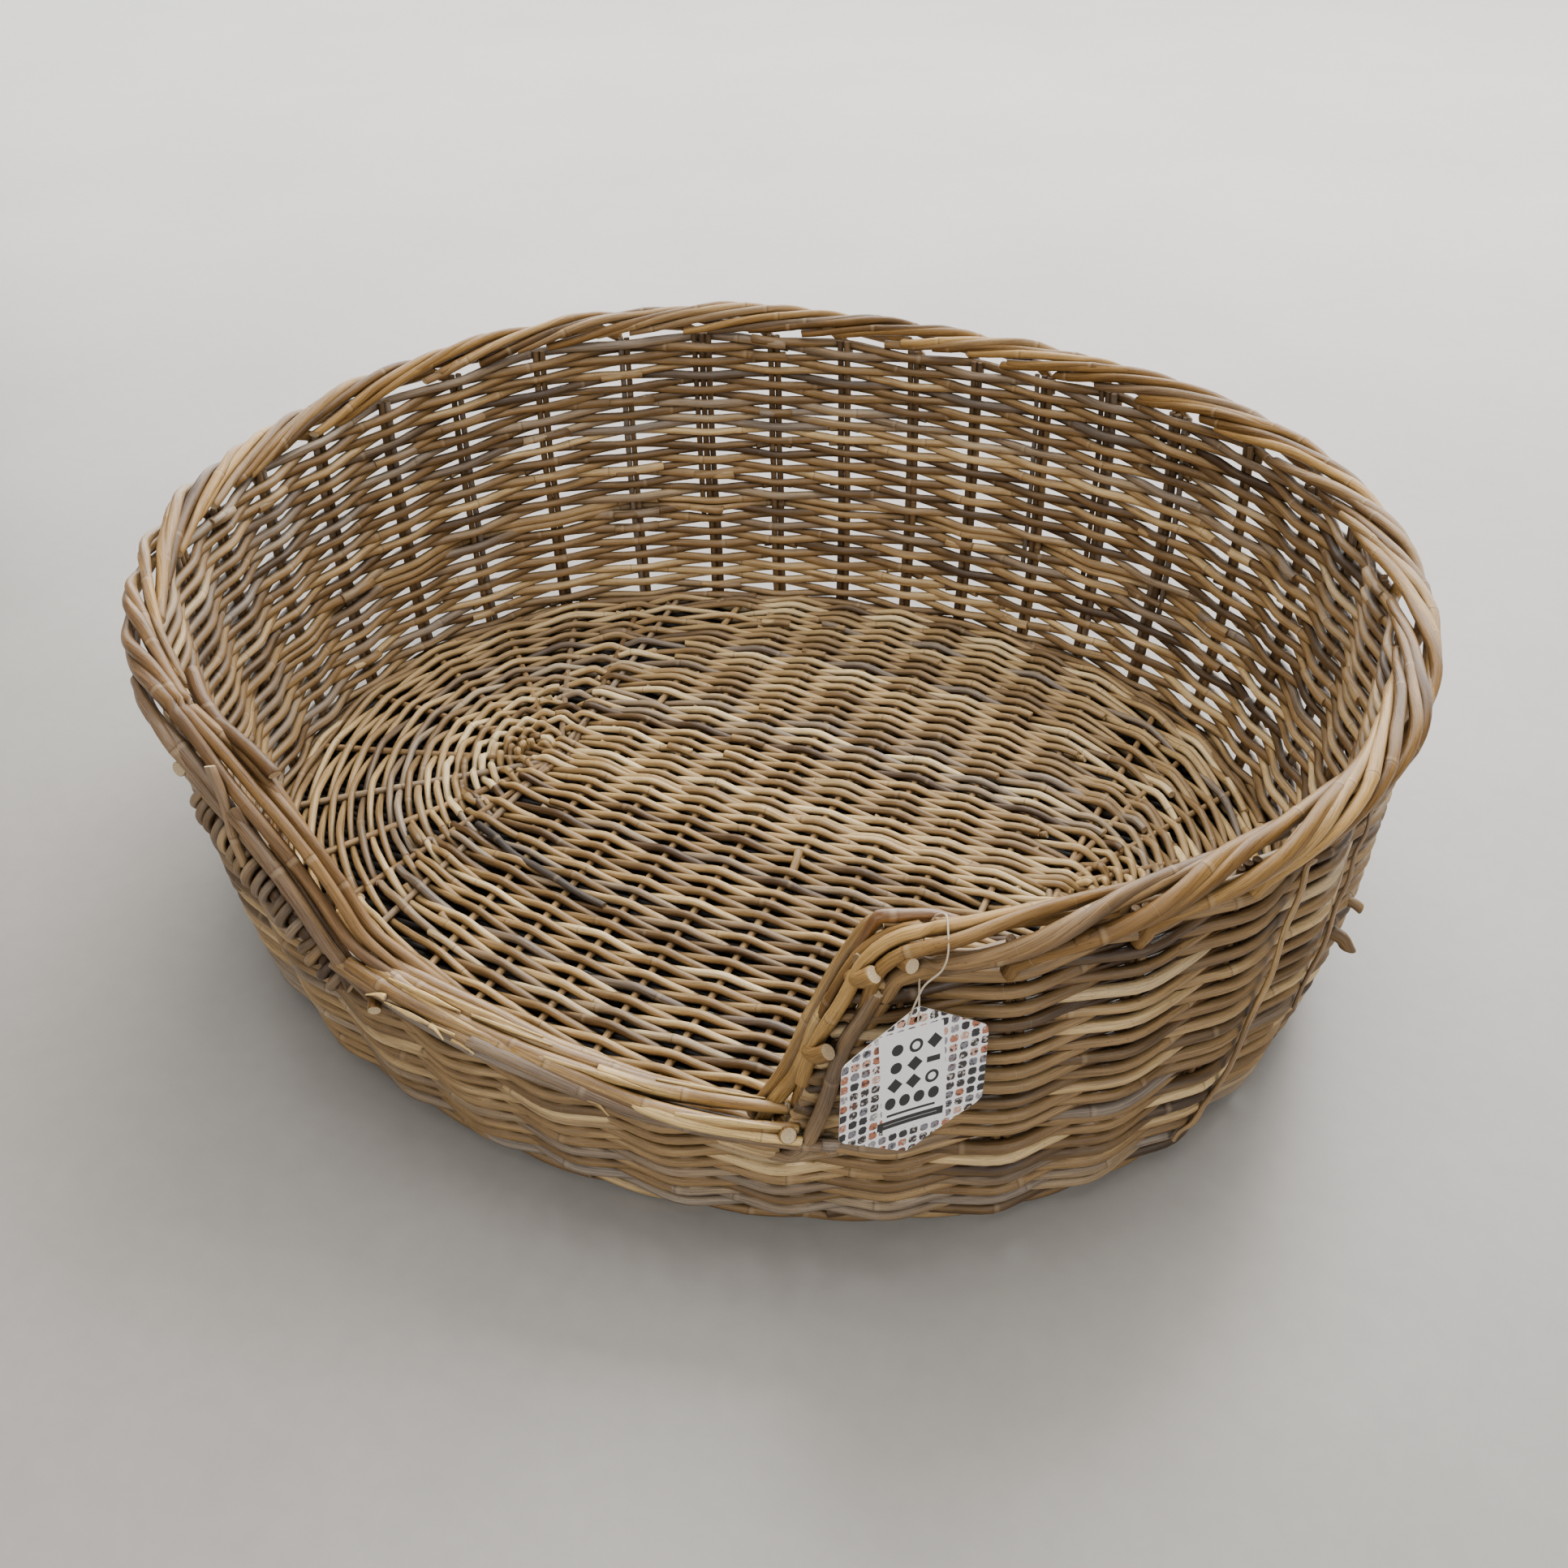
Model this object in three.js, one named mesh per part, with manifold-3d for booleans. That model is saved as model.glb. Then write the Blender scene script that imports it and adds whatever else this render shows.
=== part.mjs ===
// Oval woven pet bed basket with a cut-away entrance at the front.
// Units: millimetres. +Z up, +X along the long side, -Y towards the entrance.
// The origin is on the floor, under the middle of the basket.
//
// The basket is an oval floor woven over a cross of sticks, a ring of paired
// upright stakes, a wall of rods woven in and out of the stakes, a thick laid
// border round the rim, posts down both sides of the entrance, a lower lip
// border across it, a foot border, and a paper hang tag on a thin string.
import * as THREE from 'three';
import * as BufferGeometryUtils from 'three/addons/utils/BufferGeometryUtils.js';
import Module from 'manifold-3d';

// ---------------------------------------------------------------- dimensions
const SHIFT = [4.65, -2.09];            // moves the drawn outline onto the origin
const BASE = { a: 399.93, b: 349.98, x: -0.26, y: -7.10 };   // outline on the floor
const RIM = { a: 419.22, b: 386.57, x: -17.14, y: 0.22 };    // centre line of the rim
const BASE_Q = [-0.0072, -0.01244, 0.00176, -0.00165, -0.01293, 0.00255, -0.00833, -0.00439];
const RIM_Q = [0.04488, -0.0071, 0.00055, -0.00165, 0.00472, -0.0056, 0.00119, 0.00215];
const RIM_H = [249.17, 3.03, 6.52, 3.6, -4.17, 0.75, -2.75, -4.05, 1.22];
const BELLY = [8.78, 2.98, 0.58];    // how far the wall bellies out at mid height

const WALL_MID = 6.5;                // wall's middle surface, inside the outline
const WALL_HALF = 9.5;               // half the wall's woven thickness
const LEVELS = [0.064, 0.36, 0.65, 0.935];   // wall heights, as parts of the rim height
const BAND_GAP = 0.0015;             // between the lower and the upper weave
const COLS = 72;

const STAKE_W = 6.4;                 // half width of a pair of stakes, side by side
const STAKE_T = 3.1;                 // half thickness of a stake
const FIT = 0.35;                    // clearance all round a stake or stick
const STAKES = [301, 310, 319, 329, 339, 349, 359, 9, 19, 29, 38.5, 48.9, 59.5, 68.1, 76.4, 85.4,
  93.3, 102.2, 111.2, 120, 130.5, 141.8, 153.4, 164, 175, 185.5, 195.5, 205.5, 215.5, 225.5, 236,
  247, 257, 266, 275, 284, 292.5];

// the entrance: its sides lean, its lower edge falls a little to the right
const GATE_L = { top: 238.5, foot: 257.6 };   // degrees round the wall, left side
const GATE_R = { top: 300.3, foot: 293.4 };   // right side
const LIP = [[257, 0.545], [271, 0.505], [279, 0.462], [283.5, 0.425], [294, 0.383]];

const RIM_ROD_R = 5.6, RIM_LAY_R = 8.0, RIM_TURNS = 9;
const LIP_ROD_R = 5.4;
const POST_ROD_R = 5.4;
const PEG_R = 5.0;

const FOOT_W = 16, FOOT_H = 14;      // foot border section
const FLOOR_Z = [5, 20];             // underside and top of the woven floor
const STICK_Z = 12.5, STICK_R = 3.2;
const CROSS_X = [-200, -153, -106, -59, -12, 35, 82, 129, 176, 223];
const SLATH = { x0: -238, x1: 257, y: -2 };

const TAG = { c: [232.6, -357.7, 181.6], side: 47, yaw: -45, thick: 1.2, hole: 2.2 };
const STRING_R = 0.7;

// ------------------------------------------------------------------- surface
const RAD = Math.PI / 180;
const four = (q, t) => q.reduce((s, c, i) => {
  const k = Math.floor(i / 2) + 1;
  return s + c * (i % 2 === 0 ? Math.cos(k * t) : Math.sin(k * t));
}, 0);
const radBase = (t) => 1 + four(BASE_Q, t);
const radRim = (t) => 1 + four(BASE_Q, t) + four(RIM_Q, t);
const rimH = (t) => RIM_H[0] + four(RIM_H.slice(1), t);
const belly = (t) => BELLY[0] + BELLY[1] * Math.cos(t) + BELLY[2] * Math.sin(t);

// a point of the wall: t degrees round, u part of the rim height, off inwards
function smoothWall(deg, u, off) {
  const t = deg * RAD, c = Math.cos(t), s = Math.sin(t);
  const kb = radBase(t), kr = radRim(t), b = 4 * u * (1 - u) * belly(t);
  const bx = BASE.x + (BASE.a * kb - off) * c, by = BASE.y + (BASE.b * kb - off) * s;
  const rx = RIM.x + (RIM.a * kr - off) * c, ry = RIM.y + (RIM.b * kr - off) * s;
  return new THREE.Vector3(bx * (1 - u) + rx * u + b * c + SHIFT[0],
    by * (1 - u) + ry * u + b * s + SHIFT[1], u * rimH(t));
}
// the same wall, straight between its levels, so that every piece in it agrees
function wall(deg, u, off) {
  let i = 0;
  while (i < LEVELS.length - 2 && u > LEVELS[i + 1]) i++;
  const f = (u - LEVELS[i]) / (LEVELS[i + 1] - LEVELS[i]);
  return smoothWall(deg, LEVELS[i], off).lerp(smoothWall(deg, LEVELS[i + 1], off), f);
}
const lipU = (deg) => {
  const d = ((deg % 360) + 360) % 360;
  if (d <= LIP[0][0]) return LIP[0][1];
  for (let i = 1; i < LIP.length; i++) {
    if (d <= LIP[i][0]) {
      const f = (d - LIP[i - 1][0]) / (LIP[i][0] - LIP[i - 1][0]);
      return LIP[i - 1][1] + f * (LIP[i][1] - LIP[i - 1][1]);
    }
  }
  return LIP[LIP.length - 1][1];
};
const U_TOP = LEVELS[3];
const gateLeft = (u) => GATE_L.foot + (GATE_L.top - GATE_L.foot) * (u - LIP[0][1]) / (1 - LIP[0][1]);
const gateRight = (u) => GATE_R.foot + (GATE_R.top - GATE_R.foot) * (u - LIP[4][1]) / (1 - LIP[4][1]);

// -------------------------------------------------------------- solid making
function closedFrom(verts, faces) {
  const g = new THREE.BufferGeometry();
  g.setAttribute('position', new THREE.Float32BufferAttribute(verts.flatMap((v) => [v.x, v.y, v.z]), 3));
  g.setIndex(faces.flat());
  return g;
}
// rings of equal length joined along, capped at both ends or closed on itself;
// a strip cap suits a long ring whose two sides run side by side
function loft(rings, closed = false, strip = false) {
  const n = rings[0].length, m = rings.length, faces = [];
  const id = (i, j) => (i % m) * n + (j % n);
  for (let i = 0; i < (closed ? m : m - 1); i++) {
    for (let j = 0; j < n; j++) {
      faces.push([id(i, j), id(i + 1, j), id(i + 1, j + 1)], [id(i, j), id(i + 1, j + 1), id(i, j + 1)]);
    }
  }
  if (!closed && strip) {
    const e = (m - 1) * n;
    for (let j = 0; j < n / 2 - 1; j++) {
      const a = j, b = j + 1, c = n - 2 - j, d = n - 1 - j;
      faces.push([a, b, c], [a, c, d], [e + a, e + c, e + b], [e + a, e + d, e + c]);
    }
  } else if (!closed) {
    for (let j = 1; j < n - 1; j++) {
      faces.push([0, j, j + 1]);
      faces.push([(m - 1) * n, (m - 1) * n + j + 1, (m - 1) * n + j]);
    }
  }
  return outward(closedFrom(rings.flat(), faces));
}
function volume(g) {
  const p = g.attributes.position, ix = g.index;
  const a = new THREE.Vector3(), b = new THREE.Vector3(), c = new THREE.Vector3();
  let v = 0;
  for (let i = 0; i < ix.count; i += 3) {
    a.fromBufferAttribute(p, ix.getX(i)); b.fromBufferAttribute(p, ix.getX(i + 1)); c.fromBufferAttribute(p, ix.getX(i + 2));
    v += a.dot(b.cross(c)) / 6;
  }
  return v;
}
function outward(g) {
  if (volume(g) < 0) {
    const ix = g.index.array;
    for (let i = 0; i < ix.length; i += 3) { const s = ix[i + 1]; ix[i + 1] = ix[i + 2]; ix[i + 2] = s; }
  }
  return g;
}
function welded(g) {
  const c = g.clone();
  c.deleteAttribute('normal'); c.deleteAttribute('uv');
  return BufferGeometryUtils.mergeVertices(c, 1e-4);
}
const wasm = await Module();
wasm.setup();
function solid(g) {
  const c = welded(g);
  return new wasm.Manifold(new wasm.Mesh({
    numProp: 3,
    vertProperties: new Float32Array(c.attributes.position.array),
    triVerts: new Uint32Array(c.index.array),
  }));
}
function fromSolid(s) {
  const m = s.getMesh();
  const g = new THREE.BufferGeometry();
  const n = m.numProp, k = m.vertProperties.length / n;
  const pos = new Float32Array(k * 3);
  for (let i = 0; i < k; i++) for (let j = 0; j < 3; j++) pos[i * 3 + j] = m.vertProperties[i * n + j];
  g.setAttribute('position', new THREE.BufferAttribute(pos, 3));
  g.setIndex(Array.from(m.triVerts));
  return g;
}
// a round rod along a line of points
function rod(points, r, sides = 6, steps = 12) {
  const s = new THREE.Shape();
  for (let i = 0; i < sides; i++) {
    const a = (i / sides) * 2 * Math.PI;
    if (i === 0) s.moveTo(r * Math.cos(a), r * Math.sin(a)); else s.lineTo(r * Math.cos(a), r * Math.sin(a));
  }
  s.closePath();
  const path = points.length === 2 ? new THREE.LineCurve3(points[0], points[1]) : new THREE.CatmullRomCurve3(points);
  return new THREE.ExtrudeGeometry(s, { steps: points.length === 2 ? 1 : steps, bevelEnabled: false, extrudePath: path });
}

const group = new THREE.Group();
const CANE = 0x8f7650, CANE_DARK = 0x6f5a3c, CANE_PALE = 0xa58c63;
function add(name, geometry, color, roughness = 0.6) {
  const mesh = new THREE.Mesh(geometry, new THREE.MeshStandardMaterial({ color, roughness, metalness: 0 }));
  mesh.name = name;
  group.add(mesh);
  return mesh;
}

// ---------------------------------------------------------------- foot border
const outline = (off) => {
  const pts = [];
  for (let i = 0; i < COLS; i++) {
    const p = smoothWall((i * 360) / COLS, 0, off);
    pts.push(new THREE.Vector2(p.x, p.y));
  }
  return pts;
};
{
  const bevel = 3;
  const s = new THREE.Shape(outline(bevel));
  s.holes.push(new THREE.Path(outline(FOOT_W - bevel).reverse()));
  const g = new THREE.ExtrudeGeometry(s, { depth: FOOT_H - 2 * bevel, steps: 1, bevelEnabled: true,
    bevelThickness: bevel, bevelSize: bevel, bevelSegments: 1 });
  g.translate(0, 0, bevel);
  add('foot_border', g, CANE);
}

// ----------------------------------------------------------------- base sticks
const bar = (x0, y0, x1, y1, r, z) => rod([new THREE.Vector3(x0 + SHIFT[0], y0 + SHIFT[1], z),
  new THREE.Vector3(x1 + SHIFT[0], y1 + SHIFT[1], z)], r, 6);
function baseEdge(x, sign, inset) {       // y of the outline at a given x
  let best = null;
  for (let d = 0; d < 360; d += 0.25) {
    const p = smoothWall(d, 0, inset);
    const py = p.y - SHIFT[1];
    if (Math.sign(py - BASE.y) !== sign) continue;
    const e = Math.abs(p.x - SHIFT[0] - x);
    if (best === null || e < best[0]) best = [e, py];
  }
  return best[1];
}
const FAN_L = [156, 169, 180, 192, 205];   // where the slath's ends spread to
const FAN_R = [25, 12, 0, -12, -25];
function sticks(r, extra) {
  let s = null;
  const put = (g) => { const m = solid(g); s = s ? s.add(m) : m; };
  for (const x of CROSS_X) {
    put(bar(x, baseEdge(x, -1, FOOT_W + 3) - extra, x, baseEdge(x, 1, FOOT_W + 3) + extra, r, STICK_Z));
  }
  put(bar(SLATH.x0 - r * 2, SLATH.y, SLATH.x1 + r * 2, SLATH.y, r, STICK_Z));
  const spread = (x0, deg) => {
    const e = smoothWall(deg, 0, FOOT_W + 3);
    const dx = e.x - SHIFT[0] - x0, dy = e.y - SHIFT[1] - SLATH.y, l = Math.hypot(dx, dy);
    put(bar(x0, SLATH.y, x0 + dx * (1 + extra / l), SLATH.y + dy * (1 + extra / l), r, STICK_Z));
  };
  for (const deg of FAN_L) spread(SLATH.x0, deg);
  for (const deg of FAN_R) spread(SLATH.x1, deg);
  return s;
}
add('base_sticks', fromSolid(sticks(STICK_R, 0)), CANE_DARK);

// ---------------------------------------------------------------- woven floor
{
  const s = new THREE.Shape(outline(FOOT_W + 0.8));
  const plate = new THREE.ExtrudeGeometry(s, { depth: FLOOR_Z[1] - FLOOR_Z[0], steps: 1, bevelEnabled: false });
  plate.translate(0, 0, FLOOR_Z[0]);
  add('base_weave', fromSolid(solid(plate).subtract(sticks(STICK_R + FIT, 12))), CANE_PALE);
}

// ------------------------------------------------------------------ wall weave
function band(levels) {
  const rings = [];
  for (let i = 0; i < COLS; i++) {
    const d = (i * 360) / COLS;
    const ring = [];
    for (const u of levels) ring.push(wall(d, u, WALL_MID - WALL_HALF));
    for (const u of [...levels].reverse()) ring.push(wall(d, u, WALL_MID + WALL_HALF));
    rings.push(ring);
  }
  return loft(rings, true);
}
// frame of the wall's middle at a stake
function stakeFrame(deg) {
  const a = wall(deg - 0.5, 0.5, WALL_MID), b = wall(deg + 0.5, 0.5, WALL_MID);
  const e = b.sub(a).setZ(0).normalize();
  const n = new THREE.Vector3(e.y, -e.x, 0);
  return [e, n];
}
function stakeSolid(deg, us, grow) {
  const [e, n] = stakeFrame(deg);
  const w = STAKE_W + grow, h = STAKE_T + grow;
  const sec = [[-w, 0], [-w * 0.55, -h], [w * 0.55, -h], [w, 0], [w * 0.55, h], [-w * 0.55, h]];
  return loft(us.map((u) => {
    const c = wall(deg, u, WALL_MID);
    return sec.map(([p, q]) => c.clone().addScaledVector(e, p).addScaledVector(n, q));
  }));
}
const inGate = (deg) => deg > GATE_L.top - 2.2 && deg < GATE_R.top + 1.6;
function stakeTop(deg) {
  if (!inGate(deg)) return U_TOP;
  // lowest height at which the entrance cuts this stake
  const side = 1.4;
  let top = U_TOP;
  for (let u = U_TOP; u > 0.3; u -= 0.002) {
    const d0 = deg - side, d1 = deg + side;
    const inside = d1 > gateLeft(u) && d0 < gateRight(u) && u > Math.min(lipU(d0), lipU(d1)) - 0.006;
    if (inside) top = u - 0.002;
  }
  return top;
}
const levelsTo = (top) => [...LEVELS.filter((u) => u < top - 0.02), top];

function windowSolid() {
  const rings = [];
  const nW = 20, us = [0, 0.17, 0.34, 0.5, 0.67, 0.83, 1], uMax = 1.12;
  for (let i = 0; i <= nW; i++) {
    const w = i / nW;
    const dLow = GATE_L.foot + (GATE_R.foot - GATE_L.foot) * w, low = lipU(dLow);
    const dTop = gateLeft(uMax) + (gateRight(uMax) - gateLeft(uMax)) * w;
    const at = (k, off) => smoothWall(dLow + (dTop - dLow) * us[k], low + (uMax - low) * us[k], off);
    const ring = [];
    for (let k = 0; k < us.length; k++) ring.push(at(k, WALL_MID - 45));
    for (let k = us.length - 1; k >= 0; k--) ring.push(at(k, WALL_MID + 45));
    rings.push(ring);
  }
  return solid(loft(rings, false, true));
}
const gate = windowSolid();
{
  let channels = null;
  for (const deg of STAKES) {
    const c = solid(stakeSolid(deg, [LEVELS[0] - 0.03, ...LEVELS.slice(1, 3), U_TOP + 0.03], FIT));
    channels = channels ? channels.add(c) : c;
  }
  const lower = solid(band([LEVELS[0], LEVELS[1] - BAND_GAP])).subtract(channels);
  const upper = solid(band([LEVELS[1], LEVELS[2], LEVELS[3]])).subtract(channels).subtract(gate);
  add('wall_weave_lower', fromSolid(lower), CANE);
  add('wall_weave_upper', fromSolid(upper), CANE);
}

// --------------------------------------------------------------------- stakes
STAKES.forEach((deg, i) => {
  const top = stakeTop(deg);
  const name = `stake_pair_${String(i + 1).padStart(2, '0')}`;
  add(name, stakeSolid(deg, levelsTo(top), 0), CANE_DARK);
});

// ------------------------------------------------------------------ rim border
// three rods laid round each other, from one side of the entrance to the other
{
  const d0 = GATE_R.top + 0.2, d1 = GATE_L.top + 360 - 0.2;
  for (let k = 0; k < 3; k++) {
    const pts = [];
    const n = 54;
    for (let i = 0; i <= n; i++) {
      const f = i / n, d = d0 + (d1 - d0) * f;
      const a = f * RIM_TURNS * 2 * Math.PI + (k * 2 * Math.PI) / 3;
      const c = smoothWall(d, 1, 0);
      const [, nrm] = stakeFrame(d);
      pts.push(c.addScaledVector(nrm, RIM_LAY_R * Math.cos(a)).add(new THREE.Vector3(0, 0, RIM_LAY_R * Math.sin(a))));
    }
    add(`rim_rod_${k + 1}`, rod(pts, RIM_ROD_R, 5, n), CANE_PALE, 0.5);
  }
}

// ------------------------------------------------------------------ lip border
{
  const run = (off, up, from, to) => {
    const pts = [];
    for (let i = 0; i <= 12; i++) {
      const d = from + (to - from) * (i / 12);
      const p = smoothWall(d, lipU(d), off);
      pts.push(p.add(new THREE.Vector3(0, 0, up)));
    }
    return rod(pts, LIP_ROD_R, 6, 12);
  };
  const a = GATE_L.foot + 2.0, b = GATE_R.foot - 2.0;
  add('lip_rod_outer', run(0.6, LIP_ROD_R + 2.0, a, b), CANE_PALE, 0.5);
  add('lip_rod_inner', run(12.4, LIP_ROD_R + 2.0, a, b), CANE_PALE, 0.5);
  add('lip_rod_top', run(6.5, LIP_ROD_R + 11.6, a - 0.3, b + 0.1), CANE_PALE, 0.5);
}

// -------------------------------------------------------------- entrance posts
{
  const post = (edge, sign, off, u0, u1, lean = 1.05) => {
    const pts = [];
    for (let i = 0; i <= 6; i++) {
      const u = u0 + (u1 - u0) * (i / 6);
      pts.push(smoothWall(edge(u) + sign * lean, u, off));
    }
    return rod(pts, POST_ROD_R, 6, 6);
  };
  add('gate_post_left_outer', post(gateLeft, 1, 0.6, 0.60, 0.925, 1.7), CANE_DARK, 0.5);
  add('gate_post_left_inner', post(gateLeft, 1, 12.4, 0.60, 0.925, 1.7), CANE_DARK, 0.5);
  add('gate_post_right_outer', post(gateRight, -1, 0.6, 0.425, 0.925), CANE, 0.5);
  add('gate_post_right_inner', post(gateRight, -1, 12.4, 0.425, 0.925), CANE, 0.5);
}

// ------------------------------------------------- cut rod ends beside the gate
{
  const peg = (name, deg, u, len) => {
    const a = smoothWall(deg, u, WALL_MID - WALL_HALF - 0.6);
    const [, n] = stakeFrame(deg);
    add(name, rod([a.clone(), a.clone().addScaledVector(n, len)], PEG_R, 8), CANE_PALE);
  };
  peg('rod_end_left', 237.2, 0.885, 12);
  peg('rod_end_right_top', 303.4, 0.90, 10);
  peg('rod_end_right_mid', 300.6, 0.66, 12);
  peg('rod_end_right_low', 297.0, 0.40, 12);
}

// --------------------------------------------------------------- tag and string
{
  const yaw = TAG.yaw * RAD;
  const n = new THREE.Vector3(Math.cos(yaw), Math.sin(yaw), 0);
  const ex = new THREE.Vector3(-n.y, n.x, 0);
  const s = new THREE.Shape();
  for (let i = 0; i < 6; i++) {
    const a = Math.PI / 2 + (i * Math.PI) / 3;
    const x = TAG.side * Math.cos(a), y = TAG.side * Math.sin(a);
    // small flats where the corners are rounded
    const c = 0.08;
    const pa = Math.PI / 2 + ((i - 1) * Math.PI) / 3, na = Math.PI / 2 + ((i + 1) * Math.PI) / 3;
    const p = [x + (TAG.side * Math.cos(pa) - x) * c, y + (TAG.side * Math.sin(pa) - y) * c];
    const q = [x + (TAG.side * Math.cos(na) - x) * c, y + (TAG.side * Math.sin(na) - y) * c];
    if (i === 0) s.moveTo(p[0], p[1]); else s.lineTo(p[0], p[1]);
    s.lineTo(q[0], q[1]);
  }
  s.closePath();
  const h = new THREE.Path();
  h.absarc(0, TAG.side - 8, TAG.hole, 0, 2 * Math.PI, true);
  s.holes.push(h);
  const g = new THREE.ExtrudeGeometry(s, { depth: TAG.thick, steps: 1, bevelEnabled: false, curveSegments: 5 });
  g.translate(0, 0, -TAG.thick / 2);
  const m = new THREE.Matrix4().makeBasis(ex, new THREE.Vector3(0, 0, 1), n);
  const C = new THREE.Vector3(TAG.c[0] + SHIFT[0], TAG.c[1] + SHIFT[1], TAG.c[2]);
  m.setPosition(C);
  g.applyMatrix4(m);
  add('hang_tag', g, 0xf2f1ee, 0.7);
  const top = C.clone().add(new THREE.Vector3(0, 0, TAG.side * Math.cos(Math.PI / 6) + 3.4));
  top.z = C.z + TAG.side - TAG.side * 0.08 / 2 + 0.35;
  const up = new THREE.Vector3(C.x, C.y, 246);
  add('tag_string', rod([top, up], STRING_R, 8), 0xd9cfb6, 0.8);
}

export default group;
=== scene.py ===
import math

import bpy
import numpy as np
from mathutils import Matrix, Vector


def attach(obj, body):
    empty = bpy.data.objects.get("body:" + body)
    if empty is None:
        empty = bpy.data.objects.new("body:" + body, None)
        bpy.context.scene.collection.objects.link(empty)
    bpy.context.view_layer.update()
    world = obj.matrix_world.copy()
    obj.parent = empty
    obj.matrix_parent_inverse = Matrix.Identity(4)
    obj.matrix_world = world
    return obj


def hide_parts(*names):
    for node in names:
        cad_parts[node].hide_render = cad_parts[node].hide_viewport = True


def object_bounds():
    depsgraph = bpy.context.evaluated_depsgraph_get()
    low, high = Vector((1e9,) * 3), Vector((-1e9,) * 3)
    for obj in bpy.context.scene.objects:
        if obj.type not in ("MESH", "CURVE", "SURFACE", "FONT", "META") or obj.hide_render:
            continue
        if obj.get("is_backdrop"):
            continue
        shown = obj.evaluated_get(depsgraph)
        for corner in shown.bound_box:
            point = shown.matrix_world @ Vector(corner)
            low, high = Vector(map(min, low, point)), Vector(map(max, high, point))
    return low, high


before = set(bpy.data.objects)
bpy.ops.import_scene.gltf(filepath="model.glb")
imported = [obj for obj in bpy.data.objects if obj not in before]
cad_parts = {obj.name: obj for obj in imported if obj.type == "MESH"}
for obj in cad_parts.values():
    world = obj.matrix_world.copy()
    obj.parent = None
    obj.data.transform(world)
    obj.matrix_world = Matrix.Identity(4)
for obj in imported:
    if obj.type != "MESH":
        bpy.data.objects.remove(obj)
cad_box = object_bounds()

RNG = np.random.default_rng(11)

# ------------------------------------------------------------------- camera
cam_data = bpy.data.cameras.new("camera")
cam = bpy.data.objects.new("camera", cam_data)
bpy.context.scene.collection.objects.link(cam)
CAM_RIGHT = (0.9120301514, 0.4101130433, -0.0028800339)
CAM_UP = (-0.2469446535, 0.5547476206, 0.7945271648)
CAM_FWD = (-0.3274436455, 0.7239215214, -0.6072217798)
m = Matrix.Identity(4)
for i in range(3):
    m[i][0], m[i][1], m[i][2] = CAM_RIGHT[i], CAM_UP[i], -CAM_FWD[i]
m[0][3], m[1][3], m[2][3] = 0.39248, -0.85406, 0.75800
cam.matrix_world = m
cam_data.sensor_width = 36.0
cam_data.lens = 35.559
cam_data.clip_start = 0.02
cam_data.clip_end = 50.0
cam_data.dof.use_dof = False
bpy.context.scene.camera = cam

# ----------------------------------------------------- the basket's surfaces
# All lengths below are millimetres until a mesh is made. t is degrees round
# the basket, u a part of the rim height, off a distance inwards.
SHIFT = (4.65, -2.09)
BASE = dict(a=399.93, b=349.98, x=-0.26, y=-7.10)
RIM = dict(a=419.22, b=386.57, x=-17.14, y=0.22)
BASE_Q = (-0.0072, -0.01244, 0.00176, -0.00165, -0.01293, 0.00255, -0.00833, -0.00439)
RIM_Q = (0.04488, -0.0071, 0.00055, -0.00165, 0.00472, -0.0056, 0.00119, 0.00215)
RIM_H = (249.17, 3.03, 6.52, 3.6, -4.17, 0.75, -2.75, -4.05, 1.22)
BELLY = (8.78, 2.98, 0.58)
MID = 6.5


def four(q, t):
    return sum(c * (np.cos if i % 2 == 0 else np.sin)((i // 2 + 1) * t) for i, c in enumerate(q))


def rim_h(deg):
    t = np.radians(deg)
    return RIM_H[0] + four(RIM_H[1:], t)


def wall(deg, u, off):
    deg, u, off = np.broadcast_arrays(np.asarray(deg, float), np.asarray(u, float), np.asarray(off, float))
    t = np.radians(deg)
    c, s = np.cos(t), np.sin(t)
    kb = 1 + four(BASE_Q, t)
    kr = kb + four(RIM_Q, t)
    b = 4 * u * (1 - u) * (BELLY[0] + BELLY[1] * c + BELLY[2] * s)
    bx = BASE["x"] + (BASE["a"] * kb - off) * c
    by = BASE["y"] + (BASE["b"] * kb - off) * s
    rx = RIM["x"] + (RIM["a"] * kr - off) * c
    ry = RIM["y"] + (RIM["b"] * kr - off) * s
    return np.stack([bx * (1 - u) + rx * u + b * c + SHIFT[0],
                     by * (1 - u) + ry * u + b * s + SHIFT[1],
                     u * (RIM_H[0] + four(RIM_H[1:], t))], axis=-1)


def outward(deg, u=0.5):
    """Unit normal of the wall, level, pointing out."""
    a = wall(np.asarray(deg) - 0.5, u, MID)
    b = wall(np.asarray(deg) + 0.5, u, MID)
    e = b - a
    e[..., 2] = 0
    e /= np.linalg.norm(e, axis=-1, keepdims=True)
    return np.stack([e[..., 1], -e[..., 0], np.zeros_like(e[..., 0])], axis=-1)


# stakes, in degrees, unwrapped from the right side of the entrance round the
# back to the left side, then under the entrance
STAKES = np.array([-59, -50, -41, -31, -21, -11, -1, 9, 19, 29, 38.5, 48.9, 59.5, 68.1, 76.4, 85.4, 93.3, 102.2,
                   111.2, 120, 130.5, 141.8, 153.4, 164, 175, 185.5, 195.5, 205.5, 215.5, 225.5, 236, 247, 257,
                   266, 275, 284, 292.5])
NS = len(STAKES)
_idx = np.arange(-NS, 3 * NS)
_deg = np.concatenate([STAKES - 360, STAKES, STAKES + 360, STAKES + 720])


def stake_deg(s):
    s = np.asarray(s, float)
    lap = np.floor(s / NS)
    return np.interp(s - lap * NS, _idx, _deg) + 360 * lap


def stake_at(deg):
    return np.interp(deg, _deg, _idx)


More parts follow.
